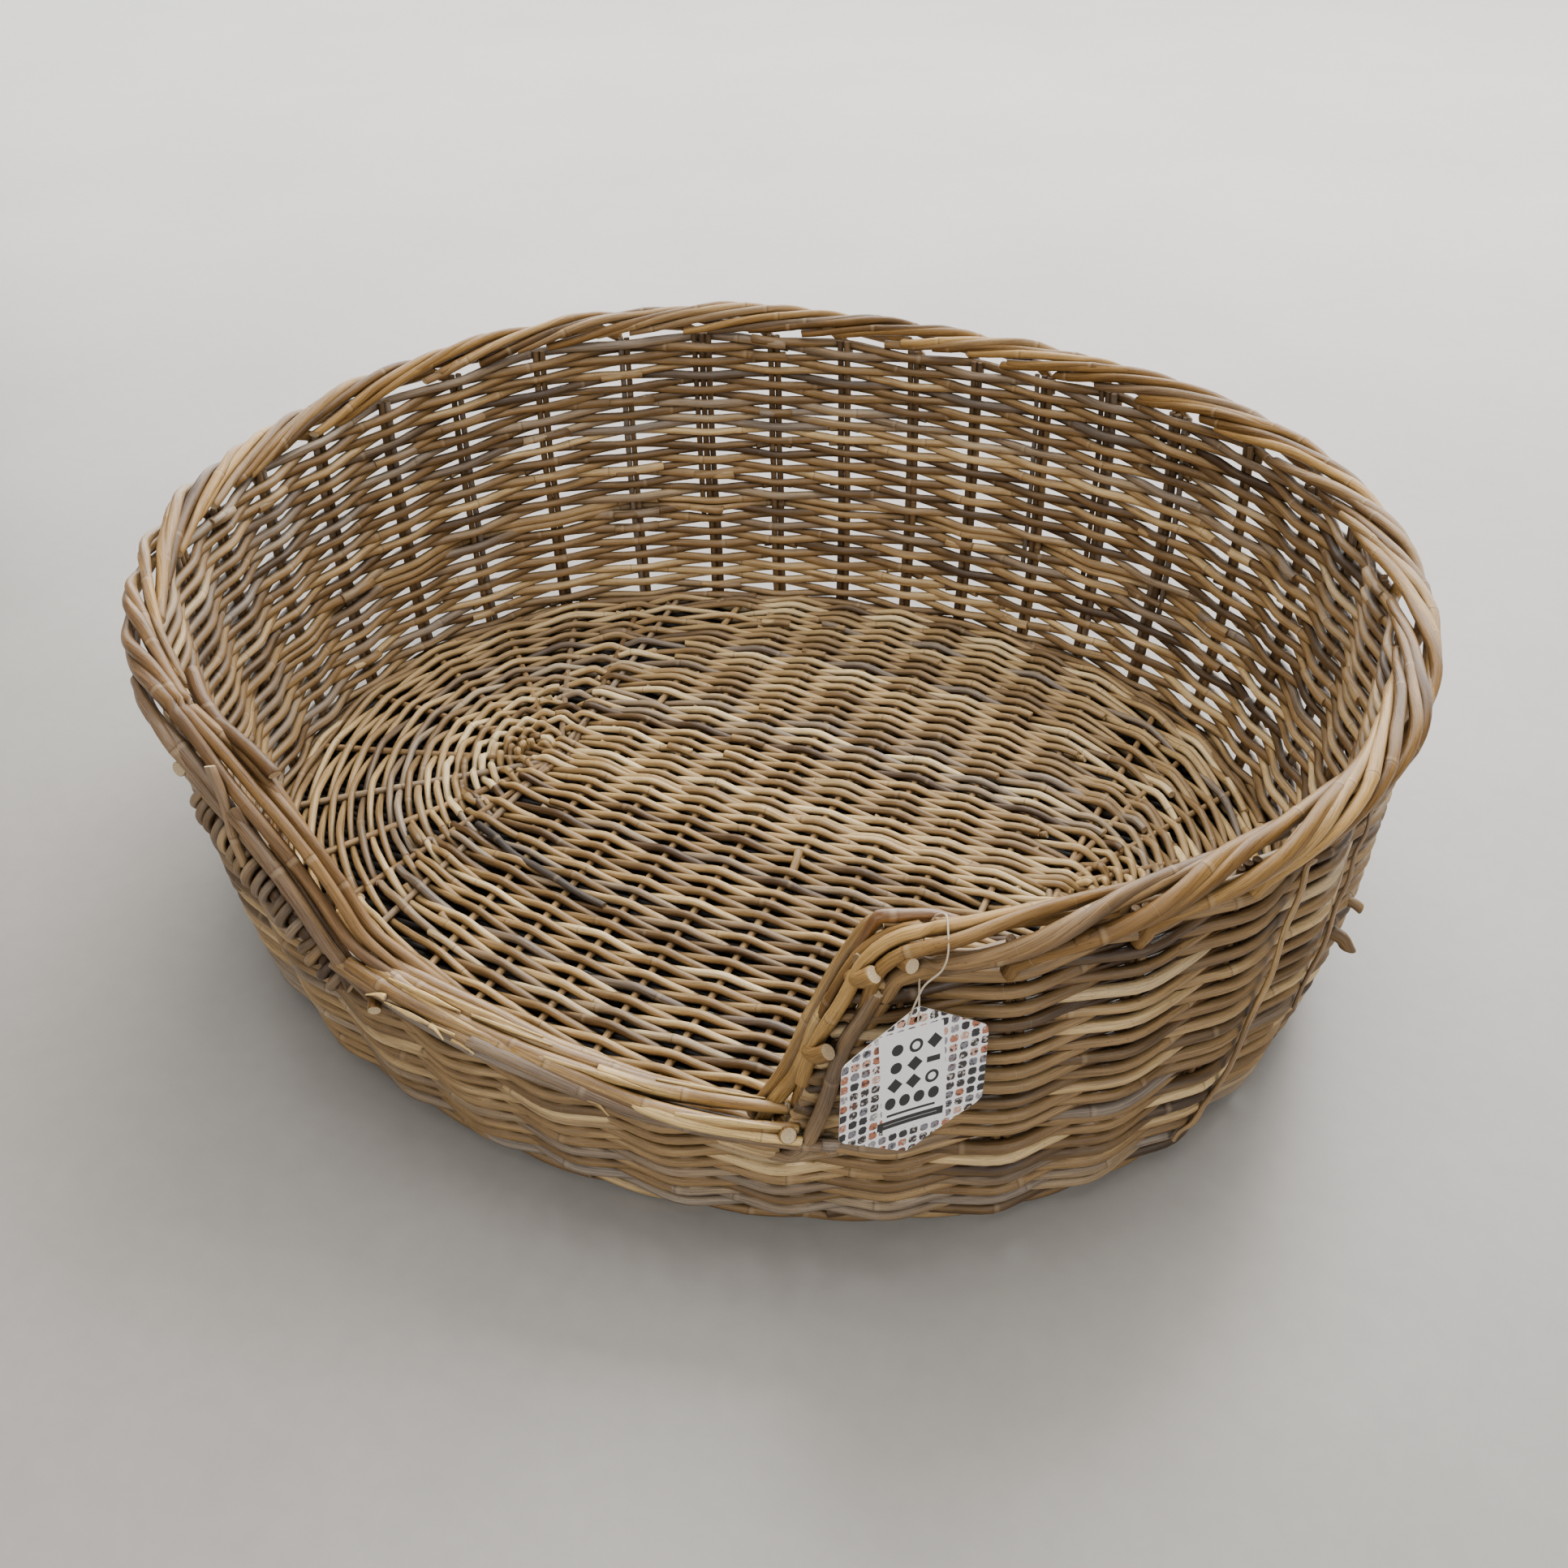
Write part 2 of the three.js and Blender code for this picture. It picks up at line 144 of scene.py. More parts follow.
LIP = np.array([(250, 0.56), (257, 0.545), (271, 0.505), (279, 0.462), (283.5, 0.425), (294, 0.383), (300, 0.36)])


def lip_u(deg):
    return np.interp(deg, LIP[:, 0], LIP[:, 1])


def gate_right(u):
    return 293.4 + 6.9 * (u - 0.383) / 0.617


def weave_left(u):
    return np.interp(u, [0.46, 0.49, 0.54, 0.60, 0.645, 0.70, 0.723, 0.756, 0.80, 0.86, 0.94],
                     [256, 255.2, 253.8, 252.0, 250.3, 248.0, 245.6, 243.2, 241.2, 239.8, 238.5])


# --------------------------------------------------------------- rod making
def smooth_line(points, step=6.0, n=None):
    """A dense Catmull-Rom line through the points (any number of columns)."""
    p = np.asarray(points, float)
    if len(p) == 2:
        k = n or max(2, int(np.linalg.norm(p[1, :3] - p[0, :3]) / step) + 1)
        f = np.linspace(0, 1, k)[:, None]
        return p[0] * (1 - f) + p[1] * f
    p = np.vstack([2 * p[0] - p[1], p, 2 * p[-1] - p[-2]])
    d = np.sqrt(np.maximum(np.linalg.norm(np.diff(p[:, :3], axis=0), axis=1), 1e-6))
    k = np.concatenate([[0], np.cumsum(d)])
    total = np.linalg.norm(np.diff(p[1:-1, :3], axis=0), axis=1).sum()
    n = n or max(6, int(total / step) + 1)
    x = np.linspace(k[1], k[-2], n)
    i = np.clip(np.searchsorted(k, x, side="right") - 1, 1, len(p) - 3)
    t0, t1, t2, t3 = (k[i + j][:, None] for j in (-1, 0, 1, 2))
    x = x[:, None]
    p0, p1, p2, p3 = p[i - 1], p[i], p[i + 1], p[i + 2]
    a1 = (t1 - x) / (t1 - t0) * p0 + (x - t0) / (t1 - t0) * p1
    a2 = (t2 - x) / (t2 - t1) * p1 + (x - t1) / (t2 - t1) * p2
    a3 = (t3 - x) / (t3 - t2) * p2 + (x - t2) / (t3 - t2) * p3
    b1 = (t2 - x) / (t2 - t0) * a1 + (x - t0) / (t2 - t0) * a2
    b2 = (t3 - x) / (t3 - t1) * a2 + (x - t1) / (t3 - t1) * a3
    return (t2 - x) / (t2 - t1) * b1 + (x - t1) / (t2 - t1) * b2


def wiggle(n, step, size, scale):
    """Smooth random run of n values, about size high, changing over scale."""
    k = max(2, int(n * step / scale) + 2)
    return np.interp(np.linspace(0, k - 1, n), np.arange(k), RNG.normal(0, size, k))


class Bundle:
    """Rods gathered into one piece."""

    def __init__(self):
        self.v, self.q, self.f, self.fm = [], [], [], []
        self.tone, self.grey, self.rc, self.nd = [], [], [], []
        self.n = 0

    def rod(self, p, r, ref=(0, 0, 1), tone=None, grey=None, sides=8, knots=95.0, cuts=(0.25, 0.25), ends=(1, 1),
            rough=0.03, flat=1.0):
        p = np.asarray(p, float)
        n = len(p)
        r = np.broadcast_to(np.asarray(r, float), (n,)).copy()
        seg = np.linalg.norm(np.diff(p, axis=0), axis=1)
        s = np.concatenate([[0], np.cumsum(seg)])
        total = s[-1]
        if total < 1:
            return
        step = total / (n - 1)
        t = np.gradient(p, axis=0)
        t /= np.linalg.norm(t, axis=1, keepdims=True)
        ref = np.broadcast_to(np.asarray(ref, float), (n, 3))
        a = ref - (ref * t).sum(1, keepdims=True) * t
        a /= np.maximum(np.linalg.norm(a, axis=1, keepdims=True), 1e-6)
        b = np.cross(t, a)
        tone = RNG.normal(0.5, 0.21) if tone is None else tone + RNG.normal(0, 0.07)
        grey = (RNG.random() < 0.14) * RNG.uniform(0.35, 1.0) if grey is None else grey
        # knuckles of the cane, each on the nearest ring
        nd = np.full(n, 40.0)
        if knots:
            at = RNG.uniform(0.1, 1.0) * knots
            while at < total - 6:
                i = int(np.argmin(np.abs(s - at)))
                nd = np.where(np.abs(s - s[i]) < np.abs(nd), s - s[i], nd)
                at += knots * RNG.uniform(0.65, 1.5)
            r *= 1 + 0.085 * np.exp(-(nd / 3.2) ** 2)
        r *= 1 + wiggle(n, step, rough, 22)
        ang = (np.arange(sides) / sides) * 2 * np.pi + RNG.uniform(0, 6.28)
        oval = 1 + RNG.uniform(-0.05, 0.05) * np.cos(2 * ang)
        ca, sa = np.cos(ang) * oval, np.sin(ang) * oval * flat
        ring = p[:, None, :] + r[:, None, None] * (ca[None, :, None] * a[:, None, :] + sa[None, :, None] * b[:, None, :])
        seed = RNG.uniform(0, 8, 3)
        rc = np.empty((n, sides, 3))
        rc[..., 0] = (s[:, None] / 1000) + seed[0]
        rc[..., 1] = (r[:, None] * ca[None, :]) / 1000 + seed[1]
        rc[..., 2] = (r[:, None] * sa[None, :]) / 1000 + seed[2]
        base = self.n
        V = [ring.reshape(-1, 3)]
        RC = [rc.reshape(-1, 3)]
        ND = [np.repeat(nd, sides)]
        i, j = np.meshgrid(np.arange(n - 1), np.arange(sides), indexing="ij")
        k = (j + 1) % sides
        quads = np.stack([base + i * sides + j, base + i * sides + k, base + (i + 1) * sides + k, base + (i + 1) * sides + j],
                         axis=-1).reshape(-1, 4)
        Q = [quads]
        T = []
        count = n * sides
        for e, (row, sign) in enumerate(((0, -1.0), (n - 1, 1.0))):
            slant = RNG.uniform(-1, 1) * cuts[e]
            c0 = p[row] + sign * t[row] * 0.45
            tip = 0.90 if ends[e] else 0.5
            skew = slant * r[row] * ca[:, None] * t[row]
            er = c0 + r[row] * tip * (ca[:, None] * a[row] + sa[:, None] * b[row]) + skew * tip
            V[0][row * sides:(row + 1) * sides] += skew
            cen = c0 + sign * t[row] * (0.0 if ends[e] else 0.6) - (sign * t[row] * 0.3 if ends[e] else 0)
            V += [er, cen[None, :]]
            e0 = base + count
            RC += [RC[0][row * sides:(row + 1) * sides], RC[0][row * sides:(row + 1) * sides].mean(0)[None, :]]
            ND += [np.full(sides + 1, 40.0)]
            jj = np.arange(sides)
            kk = (jj + 1) % sides
            r0 = base + row * sides
            if sign > 0:
                Q.append(np.stack([r0 + jj, r0 + kk, e0 + kk, e0 + jj], axis=1))
                T.append(np.stack([e0 + jj, e0 + kk, np.full(sides, e0 + sides)], axis=1))
            else:
                Q.append(np.stack([r0 + kk, r0 + jj, e0 + jj, e0 + kk], axis=1))
                T.append(np.stack([e0 + kk, e0 + jj, np.full(sides, e0 + sides)], axis=1))
            count += sides + 1
        self.v += V
        self.rc += RC
        self.nd += ND
        self.q += Q
        self.f += T
        self.fm.append(np.full(2 * sides, 1))
        self.tone.append(np.full(count, tone))
        self.grey.append(np.full(count, grey))
        self.n += count

    def make(self, name, mats, body="basket", slot=None, replaces=()):
        v = np.concatenate(self.v) / 1000.0
        q, f = np.concatenate(self.q), np.concatenate(self.f)
        me = bpy.data.meshes.new(name)
        me.vertices.add(len(v))
        me.vertices.foreach_set("co", v.astype(np.float32).ravel())
        loops = np.concatenate([q.ravel(), f.ravel()]).astype(np.int32)
        me.loops.add(len(loops))
        me.loops.foreach_set("vertex_index", loops)
        starts = np.concatenate([np.arange(len(q)) * 4, len(q) * 4 + np.arange(len(f)) * 3]).astype(np.int32)
        me.polygons.add(len(q) + len(f))
        me.polygons.foreach_set("loop_start", starts)
        me.polygons.foreach_set("material_index", np.concatenate([np.zeros(len(q)), np.ones(len(f))]).astype(np.int32))
        me.polygons.foreach_set("use_smooth", np.concatenate([np.ones(len(q)), np.zeros(len(f))]).astype(bool))
        me.update(calc_edges=True)
        for key, data, kind in (("tone", self.tone, "FLOAT"), ("grey", self.grey, "FLOAT"), ("nd", self.nd, "FLOAT"),
                                ("rc", self.rc, "FLOAT_VECTOR")):
            at = me.attributes.new(key, kind, "POINT")
            flat = np.concatenate(data).astype(np.float32).ravel()
            at.data.foreach_set("vector" if kind == "FLOAT_VECTOR" else "value", flat)
        me.validate()
        for mat in mats:
            me.materials.append(mat)
        ob = bpy.data.objects.new(name, me)
        bpy.context.scene.collection.objects.link(ob)
        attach(ob, body)
        if replaces:
            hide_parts(*replaces)
        return ob


# ---------------------------------------------------------------- materials
def nodes_of(name):
    mat = bpy.data.materials.new(name)
    mat.use_nodes = True
    nt = mat.node_tree
    nt.nodes.clear()
    out = nt.nodes.new("ShaderNodeOutputMaterial")
    bsdf = nt.nodes.new("ShaderNodeBsdfPrincipled")
    nt.links.new(bsdf.outputs[0], out.inputs[0])
    return mat, nt, bsdf


def attr(nt, name, out="Fac"):
    a = nt.nodes.new("ShaderNodeAttribute")
    a.attribute_name = name
    return a.outputs[out]


def noise(nt, vec, scale, detail=3.0, rough=0.55):
    mp = nt.nodes.new("ShaderNodeMapping")
    mp.inputs["Scale"].default_value = scale
    nt.links.new(vec, mp.inputs["Vector"])
    no = nt.nodes.new("ShaderNodeTexNoise")
    no.inputs["Scale"].default_value = 1.0
    no.inputs["Detail"].default_value = detail
    no.inputs["Roughness"].default_value = rough
    nt.links.new(mp.outputs[0], no.inputs["Vector"])
    return no.outputs["Fac"]


def ramp(nt, fac, stops, mode="LINEAR"):
    cr = nt.nodes.new("ShaderNodeValToRGB")
    cr.color_ramp.interpolation = mode
    el = cr.color_ramp.elements
    while len(el) > 1:
        el.remove(el[-1])
    el[0].position, el[0].color = stops[0][0], (*stops[0][1], 1)
    for pos, col in stops[1:]:
        e = el.new(pos)
        e.color = (*col, 1)
    nt.links.new(fac, cr.inputs[0])
    return cr.outputs[0]


def grey3(x):
    return (x, x, x)


def calc(nt, op, a, b=None, clamp=False):
    mnode = nt.nodes.new("ShaderNodeMath")
    mnode.operation = op
    mnode.use_clamp = clamp
    for sock, val in zip(mnode.inputs, (a, b)):
        if val is None:
            continue
        if isinstance(val, (int, float)):
            sock.default_value = val
        else:
            nt.links.new(val, sock)
    return mnode.outputs[0]


def mix(nt, mode, fac, a, b):
    mx = nt.nodes.new("ShaderNodeMixRGB")
    mx.blend_type = mode
    for sock, val in zip(mx.inputs, (fac, a, b)):
        if isinstance(val, (int, float)):
            sock.default_value = val
        elif isinstance(val, tuple):
            sock.default_value = (*val, 1)
        else:
            nt.links.new(val, sock)
    return mx.outputs[0]


def lin(r, g, b):
    return tuple(((c / 255 + 0.055) / 1.055) ** 2.4 if c > 10 else c / 255 / 12.92 for c in (r, g, b))


def cane(name, dark, mid, light, pale, rough=(0.42, 0.68), coat=0.0, spec=0.4, bump=0.5, crevice_shade=0.0, reach=0.010, weathered=1.0):
    mat, nt, bsdf = nodes_of(name)
    rc = attr(nt, "rc", "Vector")
    tone, greyness, nd = attr(nt, "tone"), attr(nt, "grey"), attr(nt, "nd")
    patch = noise(nt, rc, (11, 130, 130), 4)
    fibre = noise(nt, rc, (30, 1500, 1500), 3, 0.65)
    fine = noise(nt, rc, (160, 2600, 2600), 2, 0.6)
    speck = noise(nt, rc, (420, 900, 900), 2, 0.5)
    shift = calc(nt, "ADD", calc(nt, "MULTIPLY", calc(nt, "SUBTRACT", patch, 0.5), 1.15), tone, clamp=True)
    col = ramp(nt, shift, [(0.05, dark), (0.38, mid), (0.68, light), (0.97, pale)])
    col = mix(nt, "MULTIPLY", 1.0, col, ramp(nt, fibre, [(0.28, grey3(0.5)), (0.5, grey3(0.94)), (0.72, grey3(1.2))]))
    col = mix(nt, "MULTIPLY", 0.8, col, ramp(nt, fine, [(0.34, grey3(0.78)), (0.6, grey3(1.06))]))
    # weathered grey stretches
    wet = noise(nt, rc, (5, 60, 60), 3)
    gfac = calc(nt, "MULTIPLY", ramp(nt, wet, [(0.36, grey3(0.25)), (0.62, grey3(weathered))]), greyness, clamp=True)
    col = mix(nt, "MIX", gfac, col, ramp(nt, fibre, [(0.3, lin(92, 82, 72)), (0.7, lin(168, 154, 138))]))
    # small dark specks and the rings at the knuckles
    col = mix(nt, "MIX", ramp(nt, speck, [(0.66, grey3(0)), (0.74, grey3(0.55))]), col, lin(70, 48, 28))
    ring = calc(nt, "ABSOLUTE", calc(nt, "MULTIPLY", nd, 0.1))
    col = mix(nt, "MIX", ramp(nt, ring, [(0.03, grey3(0.42)), (0.08, grey3(0.0))]), col, lin(84, 58, 34))
    side = calc(nt, "ABSOLUTE", calc(nt, "SUBTRACT", calc(nt, "MULTIPLY", nd, 0.1), 0.22))
    col = mix(nt, "MIX", ramp(nt, side, [(0.05, grey3(0.16)), (0.22, grey3(0.0))]), col, lin(214, 190, 152))
    # painted shade: the base colour is darkened where the ambient-occlusion node finds other rods close by, in the
    # creases, gaps and crossings between rods
    if crevice_shade:
        ao = nt.nodes.new("ShaderNodeAmbientOcclusion")
        ao.samples = 6
        ao.inputs["Distance"].default_value = reach
        col = mix(nt, "MULTIPLY", 1.0, col, ramp(nt, ao.outputs["AO"], [(0.22, grey3(1 - crevice_shade)), (0.70, grey3(1.0))]))
    nt.links.new(col, bsdf.inputs["Base Color"])
    ro = nt.nodes.new("ShaderNodeMapRange")
    ro.inputs["From Min"].default_value, ro.inputs["From Max"].default_value = 0.32, 0.68
    ro.inputs["To Min"].default_value, ro.inputs["To Max"].default_value = rough
    nt.links.new(fibre, ro.inputs["Value"])
    nt.links.new(ro.outputs[0], bsdf.inputs["Roughness"])
    bsdf.inputs["Specular IOR Level"].default_value = spec
    bsdf.inputs["Coat Weight"].default_value = coat
    bsdf.inputs["Coat Roughness"].default_value = 0.32
    h = calc(nt, "ADD", calc(nt, "MULTIPLY", fibre, 0.7), calc(nt, "MULTIPLY", fine, 0.35))
    h = calc(nt, "SUBTRACT", h, ramp(nt, ring, [(0.03, grey3(0.35)), (0.1, grey3(0.0))]))
    bp = nt.nodes.new("ShaderNodeBump")
    bp.inputs["Strength"].default_value = bump
    bp.inputs["Distance"].default_value = 0.0007
    nt.links.new(h, bp.inputs["Height"])
    nt.links.new(bp.outputs[0], bsdf.inputs["Normal"])
    return mat


def pith(name, col_a, col_b):
    mat, nt, bsdf = nodes_of(name)
    rc = attr(nt, "rc", "Vector")
    n1 = noise(nt, rc, (700, 1900, 1900), 3, 0.7)
    nt.links.new(ramp(nt, n1, [(0.3, col_a), (0.62, col_b)]), bsdf.inputs["Base Color"])
    bsdf.inputs["Roughness"].default_value = 0.85
    bp = nt.nodes.new("ShaderNodeBump")
    bp.inputs["Strength"].default_value = 0.5
    bp.inputs["Distance"].default_value = 0.0006
    nt.links.new(n1, bp.inputs["Height"])
    nt.links.new(bp.outputs[0], bsdf.inputs["Normal"])
    return mat


M_WALL = cane("cane_wall", lin(70, 49, 26), lin(129, 99, 59), lin(168, 135, 88), lin(226, 193, 137), rough=(0.34, 0.58), spec=0.55,
              crevice_shade=0.68)
M_FLOOR = cane("cane_floor", lin(86, 61, 33), lin(152, 120, 74), lin(200, 165, 109), lin(254, 226, 170), rough=(0.30, 0.54), spec=0.6,
               crevice_shade=0.75, reach=0.012)
M_RIM = cane("cane_rim", lin(70, 48, 23), lin(127, 94, 52), lin(158, 122, 71), lin(190, 151, 92), rough=(0.20, 0.42),
             coat=0.05, spec=0.18, crevice_shade=0.75, weathered=0.4)
M_GOLD = cane("cane_gold", lin(62, 41, 18), lin(113, 81, 42), lin(160, 123, 68), lin(230, 194, 126), rough=(0.20, 0.42),
              coat=0.28, spec=0.5, crevice_shade=0.8)
M_ORANGE = cane("cane_orange", lin(88, 54, 22), lin(142, 98, 48), lin(184, 138, 78), lin(222, 180, 118), rough=(0.22, 0.42),
                coat=0.3, spec=0.5, crevice_shade=0.6)
M_BROWN = cane("cane_brown", lin(66, 44, 21), lin(112, 80, 44), lin(150, 114, 68), lin(204, 168, 112), rough=(0.22, 0.46),
               coat=0.06, spec=0.25, crevice_shade=0.75)
# painted shade: near-black cane colours for the rods under the floor, standing in for the shade seen through the gaps
# in the floor
M_UNDER_SHADE = cane("cane_under_shade", lin(20, 14, 8), lin(34, 25, 15), lin(52, 38, 23), lin(76, 57, 36), rough=(0.6, 0.85), crevice_shade=0.7)
M_BLACK = cane("cane_black", lin(28, 26, 26), lin(52, 48, 46), lin(84, 78, 72), lin(120, 110, 98), crevice_shade=0.5)
M_STAKE = cane("cane_stake", lin(60, 43, 25), lin(98, 74, 46), lin(138, 108, 70), lin(182, 150, 104), rough=(0.5, 0.75))
M_PITH = pith("cane_cut", lin(150, 122, 84), lin(226, 204, 166))
M_PITH_D = pith("cane_cut_dark", lin(84, 62, 40), lin(150, 122, 86))

# -------------------------------------------------------------- tag's string
# The loop passes round the rim in the plane of the tag's swing.
AXIS = np.array([-0.8673, -0.4978, 0.0])
OUT = np.array([0.4978, -0.8673, 0.0])
RIMC = np.array([227.4, -342.5, 251.0])
loop = [(19.6, -30.2), (18.2, -24), (16.9, -16), (16.3, -8), (15.9, 0)]
for a in np.radians(np.arange(15, 256, 15)):
    loop.append((15.9 * math.cos(a), 15.9 * math.sin(a)))
loop += [(1.5, -17.2), (7.5, -19.6), (12.5, -22.8), (16.4, -26.4), (18.9, -29.4)]
line = [RIMC + OUT * a + np.array([0, 0, 1.0]) * b
        + AXIS * (0.7 * math.sin(i * 0.9) + (4.0 if i < 4 else 0.0) - 17.0 * min(max((b + 30.0) / 48.0, 0.0), 1.0))
        for i, (a, b) in enumerate(loop)]
line = smooth_line(line, n=90) / 1000.0
cd = bpy.data.curves.new("tag_cord", "CURVE")
cd.dimensions = "3D"
sp = cd.splines.new("POLY")
sp.points.add(len(line) - 1)
for k, pt in enumerate(line):
    sp.points[k].co = (*pt, 1.0)
cd.bevel_depth = 0.0005
cd.bevel_resolution = 3
cd.use_fill_caps = True
cord = bpy.data.objects.new("tag_cord", cd)
bpy.context.scene.collection.objects.link(cord)
mat, nt, bsdf = nodes_of("cord_twist")
tc = nt.nodes.new("ShaderNodeTexCoord")
wv = nt.nodes.new("ShaderNodeTexWave")
wv.inputs["Scale"].default_value = 520.0
wv.inputs["Distortion"].default_value = 1.2
wv.bands_direction = "DIAGONAL"
nt.links.new(tc.outputs["Object"], wv.inputs["Vector"])
nt.links.new(ramp(nt, wv.outputs["Fac"], [(0.2, lin(150, 134, 108)), (0.7, lin(222, 206, 178))]), bsdf.inputs["Base Color"])
bsdf.inputs["Roughness"].default_value = 0.8
cd.materials.append(mat)
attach(cord, "tag")
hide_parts("tag_string")

# ------------------------------------------------------------------ the tag
TAG_C = np.array([238.0, -361.0, 182.4])
YAW, LEAN, ROLL = math.radians(-40.5), math.radians(6.0), math.radians(-4.2)
TAG_N = np.array([math.cos(YAW) * math.cos(LEAN), math.sin(YAW) * math.cos(LEAN), math.sin(LEAN)])
_x = np.array([-math.sin(YAW), math.cos(YAW), 0.0])
_y = np.cross(TAG_N, _x)
TAG_X = math.cos(ROLL) * _x + math.sin(ROLL) * _y
TAG_Y = -math.sin(ROLL) * _x + math.cos(ROLL) * _y
SIDE = 47.0
K = 96
hole = np.array([0.0, SIDE - 8.0])
corner = [(SIDE * math.cos(math.radians(90 + 60 * i)), SIDE * math.sin(math.radians(90 + 60 * i))) for i in range(6)]


def hexagon(dirs, start, size, rad):
    """Distance from start, along each direction, to a hexagon with round corners."""
    out = []
    c = [np.array(p) * size / SIDE for p in corner]
    pts = []
    for i in range(6):
        a, b, d = c[i - 1], c[i], c[(i + 1) % 6]
        ea, ed = (a - b) / np.linalg.norm(a - b), (d - b) / np.linalg.norm(d - b)
        p, q = b + ea * rad, b + ed * rad
        for f in np.linspace(0, 1, 7):
            pts.append((1 - f) ** 2 * p + 2 * f * (1 - f) * b + f * f * q)
    pts = np.array(pts)
    nxt = np.roll(pts, -1, axis=0)
    for d in dirs:
        best = 1e9
        e = nxt - pts
        w = pts - start
        den = d[0] * e[:, 1] - d[1] * e[:, 0]
        with np.errstate(divide="ignore", invalid="ignore"):
            k = (w[:, 0] * e[:, 1] - w[:, 1] * e[:, 0]) / den
            g = (w[:, 0] * d[1] - w[:, 1] * d[0]) / den
        ok = (k > 1e-6) & (g >= -1e-9) & (g <= 1 + 1e-9)
        best = k[ok].min()
        out.append(best)
    return np.array(out)


# directions that pass through every corner, seen from the hole
angs = list(np.linspace(0, 2 * math.pi, K, endpoint=False))
angs += [math.atan2(c[1] - hole[1], c[0] - hole[0]) % (2 * math.pi) for c in corner]
angs = np.array(sorted(angs))
dirs = np.stack([np.cos(angs), np.sin(angs)], axis=1)
reach = hexagon(dirs, hole, SIDE - 0.4, 3.2)
K = len(angs)
rings = [hole + dirs * 2.2]
for f in (0.0, 0.06, 0.14, 0.24, 0.36, 0.48, 0.6, 0.72, 0.84, 0.93, 1.0):
    rings.append(hole + dirs * (3.4 + (reach[:, None] - 3.4) * f))
grid = np.array(rings)


def curl(p):
    """How far the card bends out of its plane."""
    x, y = p[..., 0], p[..., 1]
    return 1.4 * (x / 40) ** 2 - 0.9 * (y / 45) ** 2 + 0.5 * np.sin(x / 17 + y / 23)


v2, z2 = grid.reshape(-1, 2), curl(grid).reshape(-1)
front = TAG_C + v2[:, :1] * TAG_X + v2[:, 1:] * TAG_Y + (z2[:, None] + 0.38) * TAG_N
back = front - 0.76 * TAG_N
verts = np.vstack([front, back]) / 1000
nr = len(grid)
faces = []
half = nr * K
for i in range(nr - 1):
    for j in range(K):
        k = (j + 1) % K
        faces.append((i * K + j, (i + 1) * K + j, (i + 1) * K + k, i * K + k))
        faces.append((half + i * K + j, half + i * K + k, half + (i + 1) * K + k, half + (i + 1) * K + j))
for j in range(K):
    k = (j + 1) % K
    faces.append((j, k, half + k, half + j))
    o = (nr - 1) * K
    faces.append((o + k, o + j, half + o + j, half + o + k))
me = bpy.data.meshes.new("hang_tag_card")
me.from_pydata(verts.tolist(), [], faces)
at = me.attributes.new("card", "FLOAT_VECTOR", "POINT")
side3 = np.concatenate([np.full(half, 1.0), np.full(half, 0.0)])
at.data.foreach_set("vector", np.column_stack([np.vstack([v2, v2]) / 10.0, side3]).astype(np.float32).ravel())
for p in me.polygons:
    p.use_smooth = False
card = bpy.data.objects.new("hang_tag_card", me)
bpy.context.scene.collection.objects.link(card)

mat, nt, bsdf = nodes_of("tag_print")
cv = attr(nt, "card", "Vector")
sep = nt.nodes.new("ShaderNodeSeparateXYZ")
nt.links.new(cv, sep.inputs[0])
X, Y, Z = sep.outputs


def band(a, lo, hi):
    """1 where a lies between lo and hi."""
    return calc(nt, "MULTIPLY", calc(nt, "GREATER_THAN", a, lo), calc(nt, "LESS_THAN", a, hi))


def cells(px_, py_, ox=0.0, oy=0.0):
    """Cell number (as a vector) and the distances from each cell's middle."""
    gx, gy = calc(nt, "DIVIDE", calc(nt, "SUBTRACT", X, ox), px_), calc(nt, "DIVIDE", calc(nt, "SUBTRACT", Y, oy), py_)
    cell = nt.nodes.new("ShaderNodeCombineXYZ")
    nt.links.new(calc(nt, "FLOOR", gx), cell.inputs[0])
    nt.links.new(calc(nt, "FLOOR", gy), cell.inputs[1])
    wn = nt.nodes.new("ShaderNodeTexWhiteNoise")
    nt.links.new(cell.outputs[0], wn.inputs["Vector"])
    fx = calc(nt, "ABSOLUTE", calc(nt, "SUBTRACT", calc(nt, "FRACT", gx), 0.5))
    fy = calc(nt, "ABSOLUTE", calc(nt, "SUBTRACT", calc(nt, "FRACT", gy), 0.5))
    return wn.outputs["Value"], fx, fy


# a border of small soft-edged tiles
val, fx, fy = cells(0.60, 0.60)
d2 = calc(nt, "ADD", calc(nt, "POWER", fx, 3.0), calc(nt, "POWER", fy, 3.0))
blot = noise(nt, cv, (5.2, 5.2, 5.2), 2, 0.6)
blot2 = noise(nt, cv, (9.5, 9.5, 9.5), 2, 0.6)
tile = calc(nt, "LESS_THAN", calc(nt, "ADD", d2, calc(nt, "MULTIPLY", calc(nt, "SUBTRACT", blot2, 0.5), 0.10)), 0.058)
ink = ramp(nt, val, [(0.0, lin(40, 36, 38)), (0.24, lin(176, 108, 78)), (0.40, lin(128, 126, 134)), (0.56, lin(28, 28, 32)),
                     (0.72, lin(206, 160, 136)), (0.84, lin(96, 60, 46)), (0.93, lin(150, 146, 150))], "CONSTANT")
ink2 = ramp(nt, val, [(0.0, lin(186, 174, 166)), (0.3, lin(96, 54, 40)), (0.5, lin(44, 42, 48)), (0.75, lin(226, 218, 212))],
            "CONSTANT")
ink = mix(nt, "MIX", calc(nt, "GREATER_THAN", blot, 0.56), ink, ink2)
skew = calc(nt, "ADD", X, calc(nt, "MULTIPLY", Y, 0.10))
